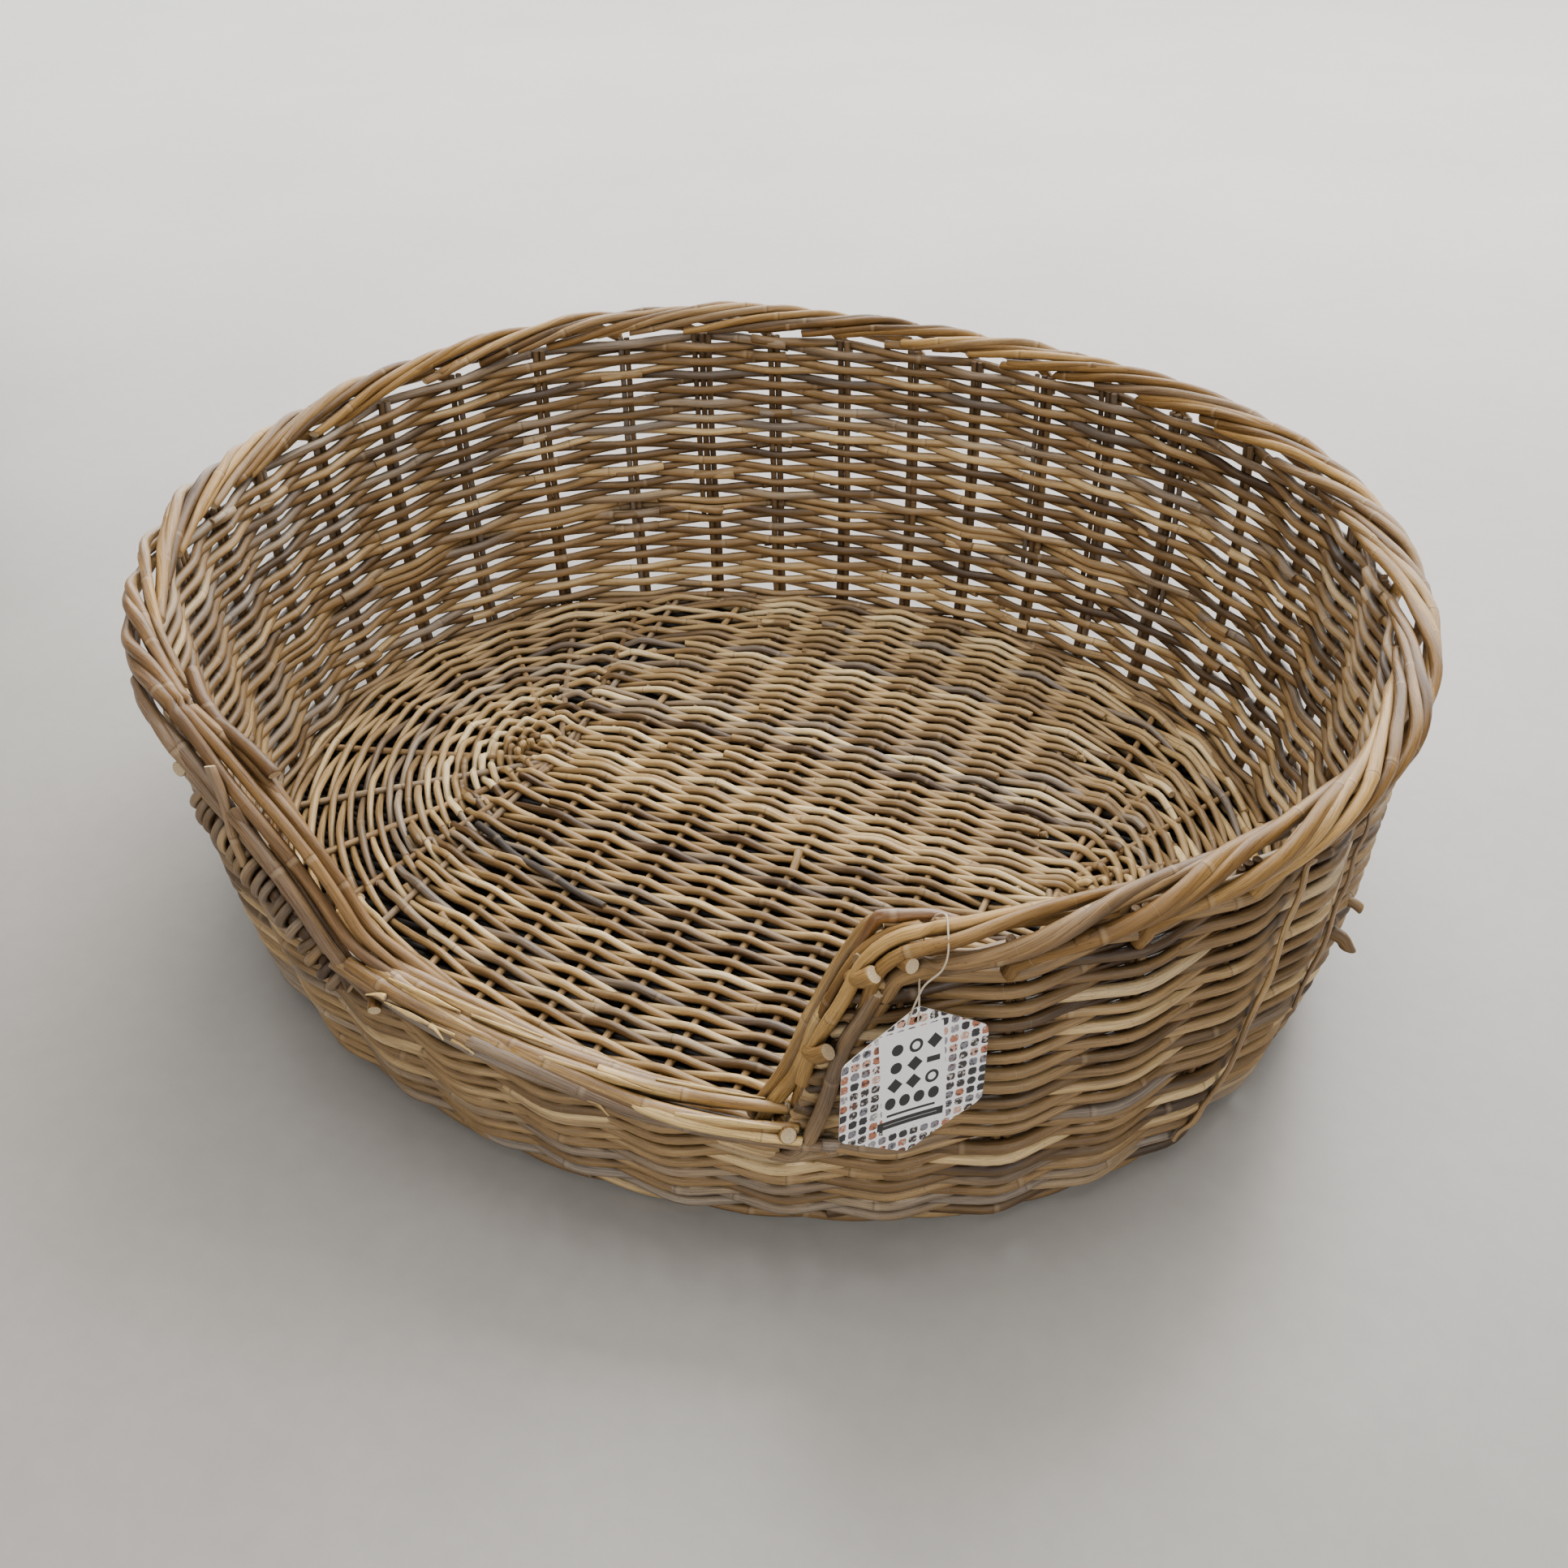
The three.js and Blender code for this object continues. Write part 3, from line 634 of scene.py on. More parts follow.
zone = calc(nt, "GREATER_THAN", calc(nt, "ABSOLUTE", skew), 1.78)
zone = calc(nt, "MAXIMUM", zone, calc(nt, "LESS_THAN", Y, -2.92))
zone = calc(nt, "MAXIMUM", zone, calc(nt, "GREATER_THAN", Y, 3.45))
paper = ramp(nt, noise(nt, cv, (6, 6, 6), 4), [(0.3, lin(248, 247, 245)), (0.7, lin(254, 253, 252))])
col = mix(nt, "MIX", calc(nt, "MULTIPLY", tile, zone), paper, ink)
# plain marks in a grid: rings, dots, diamonds and short bars
val, fx, fy = cells(1.02, 1.12, ox=-1.53, oy=-0.45)
rr = calc(nt, "SQRT", calc(nt, "ADD", calc(nt, "POWER", fx, 2.0), calc(nt, "POWER", fy, 2.0)))
ringm = calc(nt, "MULTIPLY", calc(nt, "LESS_THAN", rr, 0.37), calc(nt, "GREATER_THAN", rr, 0.21))
dot = calc(nt, "LESS_THAN", rr, 0.31)
dia = calc(nt, "LESS_THAN", calc(nt, "ADD", fx, fy), 0.42)
bar = calc(nt, "MULTIPLY", calc(nt, "LESS_THAN", fx, 0.36), calc(nt, "LESS_THAN", fy, 0.16))
pick = lambda lo, hi, m: calc(nt, "MULTIPLY", m, calc(nt, "MULTIPLY", calc(nt, "GREATER_THAN", val, lo), calc(nt, "LESS_THAN", val, hi)))
mark = pick(-1.0, 0.3, ringm)
for m in (pick(0.3, 0.55, dot), pick(0.55, 0.78, dia), pick(0.78, 2.0, bar)):
    mark = calc(nt, "MAXIMUM", mark, m)
mark = calc(nt, "MULTIPLY", mark, calc(nt, "MULTIPLY", calc(nt, "LESS_THAN", calc(nt, "ABSOLUTE", X), 1.53), band(Y, -0.45, 2.91)))
val, fx, fy = cells(0.80, 1.0, ox=-1.60, oy=-1.50)
rr = calc(nt, "SQRT", calc(nt, "ADD", calc(nt, "POWER", fx, 2.0), calc(nt, "POWER", fy, 2.0)))
low4 = calc(nt, "MULTIPLY", calc(nt, "LESS_THAN", rr, 0.38), calc(nt, "MULTIPLY", calc(nt, "LESS_THAN", calc(nt, "ABSOLUTE", X), 1.6),
                                                                 band(Y, -1.50, -0.50)))
mark = calc(nt, "MAXIMUM", mark, low4)
for lo, hi, w in ((-1.86, -1.70, 1.35), (-2.62, -2.10, 1.85)):
    mark = calc(nt, "MAXIMUM", mark, calc(nt, "MULTIPLY", band(Y, lo, hi), calc(nt, "LESS_THAN", calc(nt, "ABSOLUTE", X), w)))
col = mix(nt, "MIX", mark, col, lin(24, 22, 24))
fine_line = calc(nt, "MULTIPLY", band(Y, -2.385, -2.335), calc(nt, "LESS_THAN", calc(nt, "ABSOLUTE", X), 1.5))
col = mix(nt, "MIX", calc(nt, "MULTIPLY", fine_line, 0.5), col, lin(214, 212, 210))
soft = mix(nt, "MIX", calc(nt, "GREATER_THAN", Z, 0.5), lin(226, 222, 214), col)
nt.links.new(soft, bsdf.inputs["Base Color"])
ro = ramp(nt, noise(nt, cv, (14, 14, 14), 3), [(0.3, grey3(0.34)), (0.7, grey3(0.46))])
nt.links.new(ro, bsdf.inputs["Roughness"])
bsdf.inputs["Coat Weight"].default_value = 0.25
bsdf.inputs["Coat Roughness"].default_value = 0.2
card.data.materials.append(mat)
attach(card, "tag")
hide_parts("hang_tag")

# ------------------------------------------------------------------ the wall
PITCH = 6.1
Z0 = 11.0
ROWS = 38
LOW = 14           # rows that run all the way round, wound as one spiral
AMP = 6.3


def weave_off(s, n_row_sign=1):
    """Distance inwards of a rod as it goes in and out of the stakes."""
    c = np.cos(np.pi * s)
    c3 = np.cos(3 * np.pi * s)
    return MID + n_row_sign * AMP * (c + 0.10 * c3) / 1.10


def wall_rod(bundle, s0, s1, level, sign, r0, r1, tuck=(0, 0), turn=(0, 0), u_of=None, tone=None, grey=None):
    """One weaving rod from stake s0 to s1. level(s) gives its row; turn bends its end round the last post."""
    n = max(6, int((s1 - s0) * 9) + 1)
    s = np.linspace(s0, s1, n)
    off = weave_off(s, sign)
    lv = level(s)
    z = Z0 + PITCH * lv + wiggle(n, 7, 0.55, 45)
    taper = np.linspace(0, 1, n)
    for e, (tk, tn) in enumerate(zip(tuck, turn)):
        w = np.clip(1 - (s - s0) / 0.45, 0, 1) if e == 0 else np.clip(1 - (s1 - s) / 0.45, 0, 1)
        w = w * w * (3 - 2 * w)
        if tk:
            off = off + w * tk
            z = z + w * RNG.uniform(-1.6, 1.6)
        if tn:
            w2 = np.clip(1 - (s - s0) / 0.22, 0, 1) if e == 0 else np.clip(1 - (s1 - s) / 0.22, 0, 1)
            off = off + (MID - off) * w2 ** 1.5
            z = z + w2 ** 2 * tn * PITCH / 2
    deg = stake_deg(s)
    p = wall(deg, z / 249.0, off)
    r = r0 + (r1 - r0) * taper
    bundle.rod(p, r, ref=(0, 0, 1), tone=tone, grey=grey, sides=8, knots=RNG.uniform(120, 240))


def run_row(bundles, s0, s1, level, sign, lead=0.0, turn=(0, 0)):
    """A row made of rods laid end to end, each starting with its thick end."""
    a = s0
    first = True
    while a < s1 - 0.05:
        length = RNG.uniform(7.5, 13.5)
        b = a + length
        last = b > s1 - 3.0
        if last:
            b = s1
        else:
            b = round(b) + RNG.choice([0.22, 0.30])
        flip = RNG.random() < 0.35
        thick, thin = RNG.uniform(3.75, 4.25), RNG.uniform(2.95, 3.4)
        r0, r1 = (thin, thick) if flip else (thick, thin)
        start = a if first else a - RNG.uniform(0.42, 0.6)
        tuck = (0 if first else 2.2, 0 if last else 2.6)
        tn = (turn[0] if first else 0, turn[1] if last else 0)
        mid = (a + b) / 2
        which = int(np.clip(np.floor((mid % NS) / NS * len(bundles)), 0, len(bundles) - 1))
        wall_rod(bundles[which], start, b, level, sign, r0, r1, tuck, tn)
        a = b
        first = False


low = [Bundle() for _ in range(3)]
S_SEAM = float(stake_at(-64.0))
run_row(low, S_SEAM, S_SEAM + LOW * NS, lambda s: np.minimum((s - S_SEAM) / NS, LOW - 1), 1)

high = [Bundle() for _ in range(6)]
upper_rows = []
for k in range(LOW, ROWS):
    z = Z0 + PITCH * k
    u = z / 249.0
    if u < 0.385:
        start = -66.0
    else:
        start = gate_right(u) - 360 - 0.2
    if u > 0.495:
        end = float(weave_left(u))
    else:
        ds = np.linspace(250, 293, 200)
        over = u > lip_u(ds) + 0.012
        end = float(ds[np.argmax(over)]) if over.any() else 293.0
    upper_rows.append((k, start, end))
for n, (k, start, end) in enumerate(upper_rows):
    sign = 1 if k % 2 else -1
    # rows are joined in pairs, right round the posts
    left = (1 if n % 2 == 0 else -1) if end < 256 else 0
    right = (-1 if n % 2 == 0 else 1) if start > -66 else 0
    run_row(high, float(stake_at(start)), float(stake_at(end)), lambda s, k=k: np.full_like(s, float(k)), sign,
            turn=(right, left))

upset = Bundle()
for k in range(5):
    dg = np.linspace(205, 335, 90)
    pz = (9.0 + 6.0 * k) + wiggle(90, 9, 0.5, 50)
    upset.rod(wall(dg, pz / 249.0, MID + 6.6), 2.9, ref=(0, 0, 1), tone=0.4, sides=8, knots=150)
for k in range(13, 35):
    u = (Z0 + PITCH * (k + 0.5)) / 249.0
    d0 = float(gate_right(u)) + 1.2 - (360 if gate_right(u) > 360 else 0)
    dg = np.linspace(d0, 340.0, 40)
    upset.rod(wall(dg, u, MID), 2.1, ref=(0, 0, 1), tone=0.12, grey=0.0, sides=6, knots=0)
upset.make("wall_foot_rods", (M_BROWN, M_PITH_D), slot="cane_weave")
for i, b in enumerate(low):
    b.make(f"wall_rows_low_{i + 1}", (M_WALL, M_PITH_D), slot="cane_weave", replaces=("wall_weave_lower",) if i == 0 else ())
for i, b in enumerate(high):
    b.make(f"wall_rows_high_{i + 1}", (M_WALL, M_PITH_D), slot="cane_weave", replaces=("wall_weave_upper",) if i == 0 else ())

# ---------------------------------------------------------------- the stakes
for g in range(4):
    b = Bundle()
    names = []
    for i in range(g * 10, min(NS, g * 10 + 10)):
        d = STAKES[i]
        top = 0.965
        if d > 240:
            top = float(lip_u(d)) + 0.035
        if 235 < d < 240:
            top = 0.80
        k = 15
        u = np.linspace(0.03, top, k)
        shift = wiggle(k, 16, 0.5, 60)
        n = outward(d)
        e = np.array([-n[1], n[0], 0.0])
        wide = RNG.uniform(2.65, 3.05)
        for side in (-1, 1):
            p = wall(d, u, MID) + e * (side * wide * 0.98 + shift[:, None]) + n * (side * 0.4)
            b.rod(p, np.linspace(wide * 1.02, wide * 0.92, k), ref=n, tone=0.45, sides=8, knots=110)
        if RNG.random() < 0.3:
            p = wall(d, np.linspace(0.3, top, 10), MID) + e * (3.2 * wide * (1 if RNG.random() < 0.5 else -1)) + n * 0.6
            b.rod(p, wide * 0.8, ref=n, tone=0.5, sides=8, knots=100)
        # CAD numbers the stakes from the first one on the right, in the same order
        names.append(f"stake_pair_{i + 1:02d}")
    b.make(f"stakes_{g + 1}", (M_STAKE, M_PITH_D), slot="cane_stake", replaces=names)

# ----------------------------------------------------------------- the floor
SL_C = np.array([16.0, -4.0])
SL_E = np.array([math.cos(math.radians(1.2)), math.sin(math.radians(1.2))])
SL_N = np.array([-SL_E[1], SL_E[0]])
SL_L = 232.0
FLOOR_OFF = 15.5
STICK_Z, FLOOR_AMP = 12.4, 4.7


def slath_s(x):
    """Where on the slath a row's point belongs, for an outline point x along it."""
    y = x / (SL_L * 1.02)
    return SL_L * y / (1 + np.abs(y) ** 9) ** (1 / 9)


def floor_map(deg, w):
    """Floor point, w from 0 at the slath to 1 at the outline."""
    o = wall(deg, 0.02, FLOOR_OFF)[..., :2]
    s = slath_s((o - SL_C) @ SL_E)
    side = np.sign(np.sin(np.radians(deg)))
    inner = SL_C + s[..., None] * SL_E
    w = np.asarray(w)[..., None]
    return inner * (1 - w) + o * w, s


tt = np.linspace(0, 360, 1441)
o_all = wall(tt, 0.02, FLOOR_OFF)[:, :2]
s_all = slath_s((o_all - SL_C) @ SL_E)
cross = [-211, -166, -119, -72, -25, 22, 70, 117, 164, 209]


def t_for(s, front):
    m = (np.sin(np.radians(tt)) < 0) == front
    return float(tt[m][np.argmin(np.abs(s_all[m] - s))])


fl = [228.5, 217, 204.5, 191, 177.5, 164.5, 152, 141, 131]   # sticks spread round the left end
fr = [316.5, 329, 342, 355.5, 369, 382, 394, 404.5]          # and round the right end
sticks = [t_for(s, True) for s in cross]                       # front, left to right
sticks = sorted(sticks) + fr
back = sorted(t_for(s, False) for s in cross)                  # 50..120 degrees, right to left
sticks += [b + 360 for b in back] + [x + 360 for x in sorted(fl)]
sticks = np.array(sorted(sticks))
NF = len(sticks)
if NF % 2 == 0:                                                 # an odd number lets the spiral change over each turn
    sticks = np.delete(sticks, int(np.argmin(np.abs(sticks - 372))))
    NF = len(sticks)
_fi = np.arange(-NF, 2 * NF)
_fd = np.concatenate([sticks - 360, sticks, sticks + 360])


def fdeg(j):
    j = np.asarray(j, float)
    lap = np.floor(j / NF)
    return np.interp(j - lap * NF, _fi, _fd) + 360 * lap


def fidx(deg):
    return np.interp(deg, _fd, _fi)


GROUPS = 13
FULL = 2 * GROUPS


def side_pos(rho):
    f = np.floor(rho)
    g = rho - f
    a = 2 * f + (f % 2)
    b = 2 * (f + 1) + ((f + 1) % 2)
    return a + (b - a) * g


def blend(s):
    x = np.clip((1 - np.abs(s) / SL_L) / 0.5, 0, 1)
    return x * x * (3 - 2 * x)


def row_w(rho, s):
    v_side = (side_pos(rho) + 0.5) / (4 * GROUPS + 0.6)
    v_end = (rho + 0.8) / (FULL + 0.6)
    b = blend(s)
    return b * v_side + (1 - b) * v_end


def pack_w(g, which, s, deg_turn):
    rho = 2 * g + deg_turn
    a, b = side_pos(rho), side_pos(rho + 1)
    v_side = (a + (b - a) * which / 3 + 0.5) / (4 * GROUPS + 0.6)
    e0, e1 = (rho + 0.8) / (FULL + 0.6), (rho + 1.8) / (FULL + 0.6)
    v_end = e0 + (e1 - e0) * which / 3
    k = blend(s)
    return k * v_side + (1 - k) * v_end


def floor_rod(bundle, j0, j1, wfun, sign, r0, r1, ends=(2.0, 2.0), tone=None, grey=None):
    n = max(6, int((j1 - j0) * 9) + 1)
    j = np.linspace(j0, j1, n)
    deg = fdeg(j)
    _, s = floor_map(deg, np.zeros(n))
    xy, _ = floor_map(deg, wfun(s, j))
    c = np.cos(np.pi * j)
    c3 = np.cos(3 * np.pi * j)
    z = STICK_Z + sign * FLOOR_AMP * (c + 0.12 * c3) / 1.12 + wiggle(n, 6, 0.35, 40)
    # a row leans against its neighbours
    lean = wiggle(n, 6, 0.7, 60)
    nrm = np.gradient(xy, axis=0)
    nrm = np.stack([nrm[:, 1], -nrm[:, 0]], axis=1)
    nrm /= np.maximum(np.linalg.norm(nrm, axis=1, keepdims=True), 1e-6)
    xy = xy + nrm * (lean * 0.6)[:, None]
    for e, up in enumerate(ends):
        q = (j - j0) if e == 0 else (j1 - j)
        w = np.clip(1 - q / 0.4, 0, 1)
        z = z + up * w * w
    p = np.column_stack([xy, z])
    bundle.rod(p, np.linspace(r0, r1, n), ref=(0, 0, 1), tone=tone, grey=grey, sides=8, knots=RNG.uniform(120, 240))


fb = [Bundle() for _ in range(5)]


def floor_run(j0, j1, wfun, sign, which, end_up=2.2):
    a, first = j0, True
    while a < j1 - 0.05:
        b = a + RNG.uniform(9, 17)
        last = b > j1 - 4
        if last:
            b = j1
        else:
            b = round(b) + RNG.choice([0.2, 0.3])
        thick, thin = RNG.uniform(3.05, 3.4), RNG.uniform(2.6, 2.9)
        r0, r1 = (thick, thin) if RNG.random() < 0.6 else (thin, thick)
        start = a if first else a - RNG.uniform(0.4, 0.6)
        floor_rod(fb[which], start, b, wfun, sign, r0, r1, (end_up, end_up))
        a, first = b, False


J0 = float(fidx(sticks[0] - 6))
NC = len(cross)
TURN0 = 2 * NC + len(fr) - 0.5      # the spiral steps out by one row in the left spread only


def turns(j):
    x = (np.asarray(j, float) - J0) / NF
    lap = np.floor(x)
    return lap + np.clip(((x - lap) * NF - TURN0) / (NF - TURN0), 0, 1)


for f in range(FULL):
    floor_run(J0 + f * NF + 0.0, J0 + (f + 1) * NF, lambda s, j: row_w(turns(j), s), 1, f % 3)
# two rods along the middle, one each way
for sign in (1, -1):
    floor_run(-0.45, NC - 0.55, lambda s, j: np.full(len(j), 0.0), sign, 3, end_up=0.5)
for g in range(GROUPS):
    for which in (1, 2):
        for front in (True, False):
            # from one spread to the other, each starting under a stick of its own
            first = 0 if front else NC + len(fr)
            near = RNG.choice([-2, -1, 0, 1]) if which == 1 else RNG.choice([-1, 0, 1, 2])
            far = RNG.choice([-1, 0, 1, 1]) if which == 1 else RNG.choice([-1, 0, 1, 2])
            if front and near < 0:
                near = max(near, 0) if g < 3 else near
            a = NF + first + near - RNG.choice([0.25, 0.35])
            b = NF + first + NC - 1 - far + RNG.choice([0.25, 0.35])
            lap = int(math.floor(((a + b) / 2 - J0) / NF))
            fn = lambda s, j, g=g, which=which: pack_w(g, which, s, turns(j) % 1.0)
            # parity follows the full rows at the same place
            sign = (-1) ** which * (-1) ** ((2 * g - lap) * NF)
            floor_run(a, b, fn, sign, 3 + (0 if front else 1), end_up=2.4)
for i, b in enumerate(fb):
    b.make(f"floor_rows_{i + 1}", (M_FLOOR, M_PITH), slot="cane_floor", replaces=("base_weave",) if i == 0 else ())

# the underside of the floor: rods lying close together, coloured near black as painted shade for what shows through the
# floor's gaps
b = Bundle()
out = wall(np.linspace(0, 360, 721), 0.02, FLOOR_OFF + 3.0)[:, :2]
for i, y in enumerate(np.arange(-372, 372, 7.4)):
    yy = y + RNG.normal(0, 0.6)
    cr = []
    for a0, a1 in zip(out[:-1], out[1:]):
        if (a0[1] - yy) * (a1[1] - yy) < 0:
            cr.append(a0[0] + (a1[0] - a0[0]) * (yy - a0[1]) / (a1[1] - a0[1]))
    if len(cr) < 2 or max(cr) - min(cr) < 60:
        continue
    n = max(6, int((max(cr) - min(cr)) / 22))
    x = np.linspace(min(cr) + 4, max(cr) - 4, n)
    pts = np.stack([x, np.full(n, yy) + wiggle(n, 5, 0.8, 60), 4.2 + 0.7 * np.cos(x / 47 * math.pi + i * math.pi)], axis=1)
    b.rod(pts, 3.0, ref=(0, 0, 1), tone=0.10, grey=0.0, sides=6, knots=0)
b.make("floor_underside", (M_UNDER_SHADE, M_PITH_D), slot="cane_floor")

# a blackened rod and the stump of a stick between the rows
DARKROD = [(-199, -113, 18.5), (-177, -122, 19.5), (-154, -132, 17.5), (-131, -138, 18.5), (-109, -145, 19.5), (-88, -150, 17.5), (-65, -155, 18.5)]
STUMP = [(42, -66, 15.0), (41, -56, 19.0), (39, -47, 21.0)]
b = Bundle()
b.rod(smooth_line(DARKROD, step=6), np.linspace(3.1, 2.5, len(smooth_line(DARKROD, step=6))), ref=(0, 0, 1), tone=0.05, grey=0.35, sides=10, knots=60)
b.make("floor_dark_rod", (M_BLACK, M_PITH_D), slot="cane_floor")
b = Bundle()
b.rod(smooth_line(STUMP, step=4), 3.1, ref=(0, 0, 1), tone=0.5, sides=12, knots=0, cuts=(0.4, 0.8))
b.make("floor_stump", (M_FLOOR, M_PITH), slot="cane_floor")

# the sticks that the floor is woven on
b = Bundle()
for s in cross:
    a, c = t_for(s, True), t_for(s, False)
    p0, _ = floor_map(np.array([a]), np.array([0.985]))
    p1, _ = floor_map(np.array([c]), np.array([0.985]))
    mid = SL_C + s * SL_E
    line3 = smooth_line([(*p0[0], STICK_Z), (*mid, STICK_Z), (*p1[0], STICK_Z)], step=12)
    b.rod(line3, 2.6, ref=(0, 0, 1), tone=0.95, sides=8, knots=90)
for d in fl + fr:
    p1, s = floor_map(np.array([float(d)]), np.array([0.985]))
    inner = SL_C + (s[0] - np.sign(s[0]) * 22) * SL_E
    side = np.sign(math.sin(math.radians(d)))
    inner = inner + SL_N * side * 4.0
    line3 = smooth_line([(*inner, STICK_Z), (*((inner + p1[0]) / 2 + RNG.normal(0, 2, 2)), STICK_Z), (*p1[0], STICK_Z)], step=12)
    b.rod(line3, np.linspace(2.5, 2.7, len(line3)), ref=(0, 0, 1), tone=0.7, sides=8, knots=90)
p0, p1 = SL_C - SL_E * (SL_L + 6), SL_C + SL_E * (SL_L + 6)
b.rod(smooth_line([(*p0, STICK_Z - 3.5), (*p1, STICK_Z - 3.5)], step=14), 2.6, ref=(0, 0, 1), tone=0.55, sides=8)
b.make("floor_sticks", (M_STAKE, M_PITH), slot="cane_stake", replaces=("base_sticks",))

# ----------------------------------------------------------- the foot border
b = Bundle()
FOOT_TURNS = 14
for k in range(3):
    cuts = np.sort(RNG.uniform(0, 360, 5))
    for i in range(5):
        a, c = cuts[i], cuts[(i + 1) % 5] + (360 if i == 4 else 0)
        n = int((c - a) * 1.1) + 8
        deg = np.linspace(a - 1.2, c + 0.6, n)
        ph = np.radians(deg * FOOT_TURNS) + k * 2 * math.pi / 3
        p = wall(deg, 0, 7.4 + 3.9 * np.cos(ph))
        p[:, 2] = 7.2 + 3.3 * np.sin(ph)
        b.rod(p, np.linspace(3.7, 3.0, n), ref=(0, 0, 1), sides=8, knots=100)
for k in range(4):
    a, c = 90 * k + RNG.uniform(0, 30), 90 * (k + 1) + RNG.uniform(35, 60)
    for z, off in ((8.0, 15.6), (14.0, 16.6)):
        n = int((c - a) * 1.1) + 8
        deg = np.linspace(a, c, n)
        p = wall(deg, 0, off + 1.2 * np.cos(np.radians(deg * 18.5) + k))
        p[:, 2] = z + 1.4 * np.sin(np.radians(deg * 18.5) + k) + wiggle(n, 6, 0.5, 60)
        b.rod(p, np.linspace(3.5, 2.9, n), ref=(0, 0, 1), sides=8, knots=160)
b.make("foot_border_rods", (M_WALL, M_PITH_D), slot="cane_border", replaces=("foot_border",))

# ------------------------------------------------------------ the rim border
LAY, STRAND = 9.3, 4.6


def rim_point(deg, psi, lay):
    c = wall(deg, 1.0, 0.0)
    n = outward(deg)
    up = np.array([0, 0, 1.0])
    return c + n * (lay * np.cos(psi))[:, None] + up * (lay * np.sin(psi))[:, None], n * np.cos(psi)[:, None] + up * np.sin(psi)[:, None]


class Edge:
    """The line the border follows once it leaves the rim, with the directions out of the wall and off the edge."""

    def __init__(self, head, points, out0, out1, sign):
        line = smooth_line(np.vstack([head, points]), step=4)
        k0 = int(np.argmin(np.linalg.norm(line - head[-1], axis=1)))
        t = np.gradient(line, axis=0) * sign
        self.p, t = line[k0:], t[k0:]
        t /= np.linalg.norm(t, axis=1, keepdims=True)
        self.s = np.concatenate([[0], np.cumsum(np.linalg.norm(np.diff(self.p, axis=0), axis=1))])
        f = np.clip(self.s / 90, 0, 1)[:, None]
        n = out0 * (1 - f) + out1 * f
        n -= (n * t).sum(1, keepdims=True) * t
        self.n = n / np.linalg.norm(n, axis=1, keepdims=True)
        self.b = np.cross(self.n, t)

    def at(self, e, n, b):
        pick = lambda x: np.stack([np.interp(e, self.s, x[:, i]) for i in range(3)], axis=1)
        N, B = pick(self.n), pick(self.b)
        return pick(self.p) + N * n[:, None] + B * b[:, None], N + 0.2 * B


def centre(d):
    return wall(d, 1.0, 0.0)


GL = Edge(np.array([centre(233.0), centre(235.0), centre(236.5)]),
          [(-203, -328, 220), (-170, -341, 210), (-146, -349, 196), (-127, -355, 180), (-110, -361, 163), (-93, -367, 150),
           (-62, -371, 141), (-30, -374, 138)], outward(236.5), outward(252.0), 1.0)
GR = Edge(np.array([centre(308.5), centre(306.5), centre(304.5)]),
          [(224, -342, 249), (213, -346, 240), (206, -347, 224), (199, -348, 206), (190, -348, 184), (181, -349, 158),
           (173, -350, 130), (166, -350, 104), (160, -350, 82)], outward(304.5), outward(297.0), -1.0)

rim = [Bundle() for _ in range(3)]
rim_left = Bundle()
SPAN = 3.3
S_LO, S_HI = float(stake_at(-55.5)), float(stake_at(236.5))
PSI_Q, PSI_V = [0, 0.15, 0.28, 0.38, 0.5, 0.75, 1.0], [-48, -22, 12, 62, 98, 146, 214]
strands = []
for i in range(-3, 31):
    for pair in (0, 1):
        s0 = i + 0.34 * pair + RNG.uniform(-0.06, 0.06)
        s1 = s0 + SPAN + RNG.uniform(-0.25, 0.35)
        if s1 < S_LO + 0.5 or s0 > S_HI - 0.35:
            continue
        strands.append(dict(i=i, pair=pair, s0=s0, s1=s1, right=s0 < S_LO - 0.2, left=s1 > S_HI + 0.05,
                            at_lo=np.interp((S_LO - s0) / (s1 - s0), PSI_Q, PSI_V),
                            at_hi=np.interp((S_HI - s0) / (s1 - s0), PSI_Q, PSI_V)))
# where each goes in the bundle down the entrance, from the inside outwards: out, off the edge, how far
SLOT_R = [(-5.0, 9.0, 104, 0.0), (-3.0, 1.5, 170, 0.0), (4.5, 7.0, 128, 0.0), (5.0, -3.0, 70, 0.0), (4.0, -11.5, 172, 0.55),
          (1.0, -18.0, 150, 0.3), (-6.0, -8.0, 120, 0.2)]
SLOT_L = [(-12.5, -3.0, 196, 0.0), (-10.0, 6.5, 238, 0.0), (-1.5, 9.5, 228, 0.0), (6.5, 6.0, 236, 0.1), (12.5, -2.0, 200, 0.6),
          (11.5, -12.0, 150, 0.7), (2.0, -9.0, 120, 0.3)]
for key, at_key, slots in (("right", "at_lo", SLOT_R), ("left", "at_hi", SLOT_L)):
    group = sorted((x for x in strands if x[key]), key=lambda x: -x[at_key])
    for x, slot in zip(group, slots):
        x["slot"] = slot
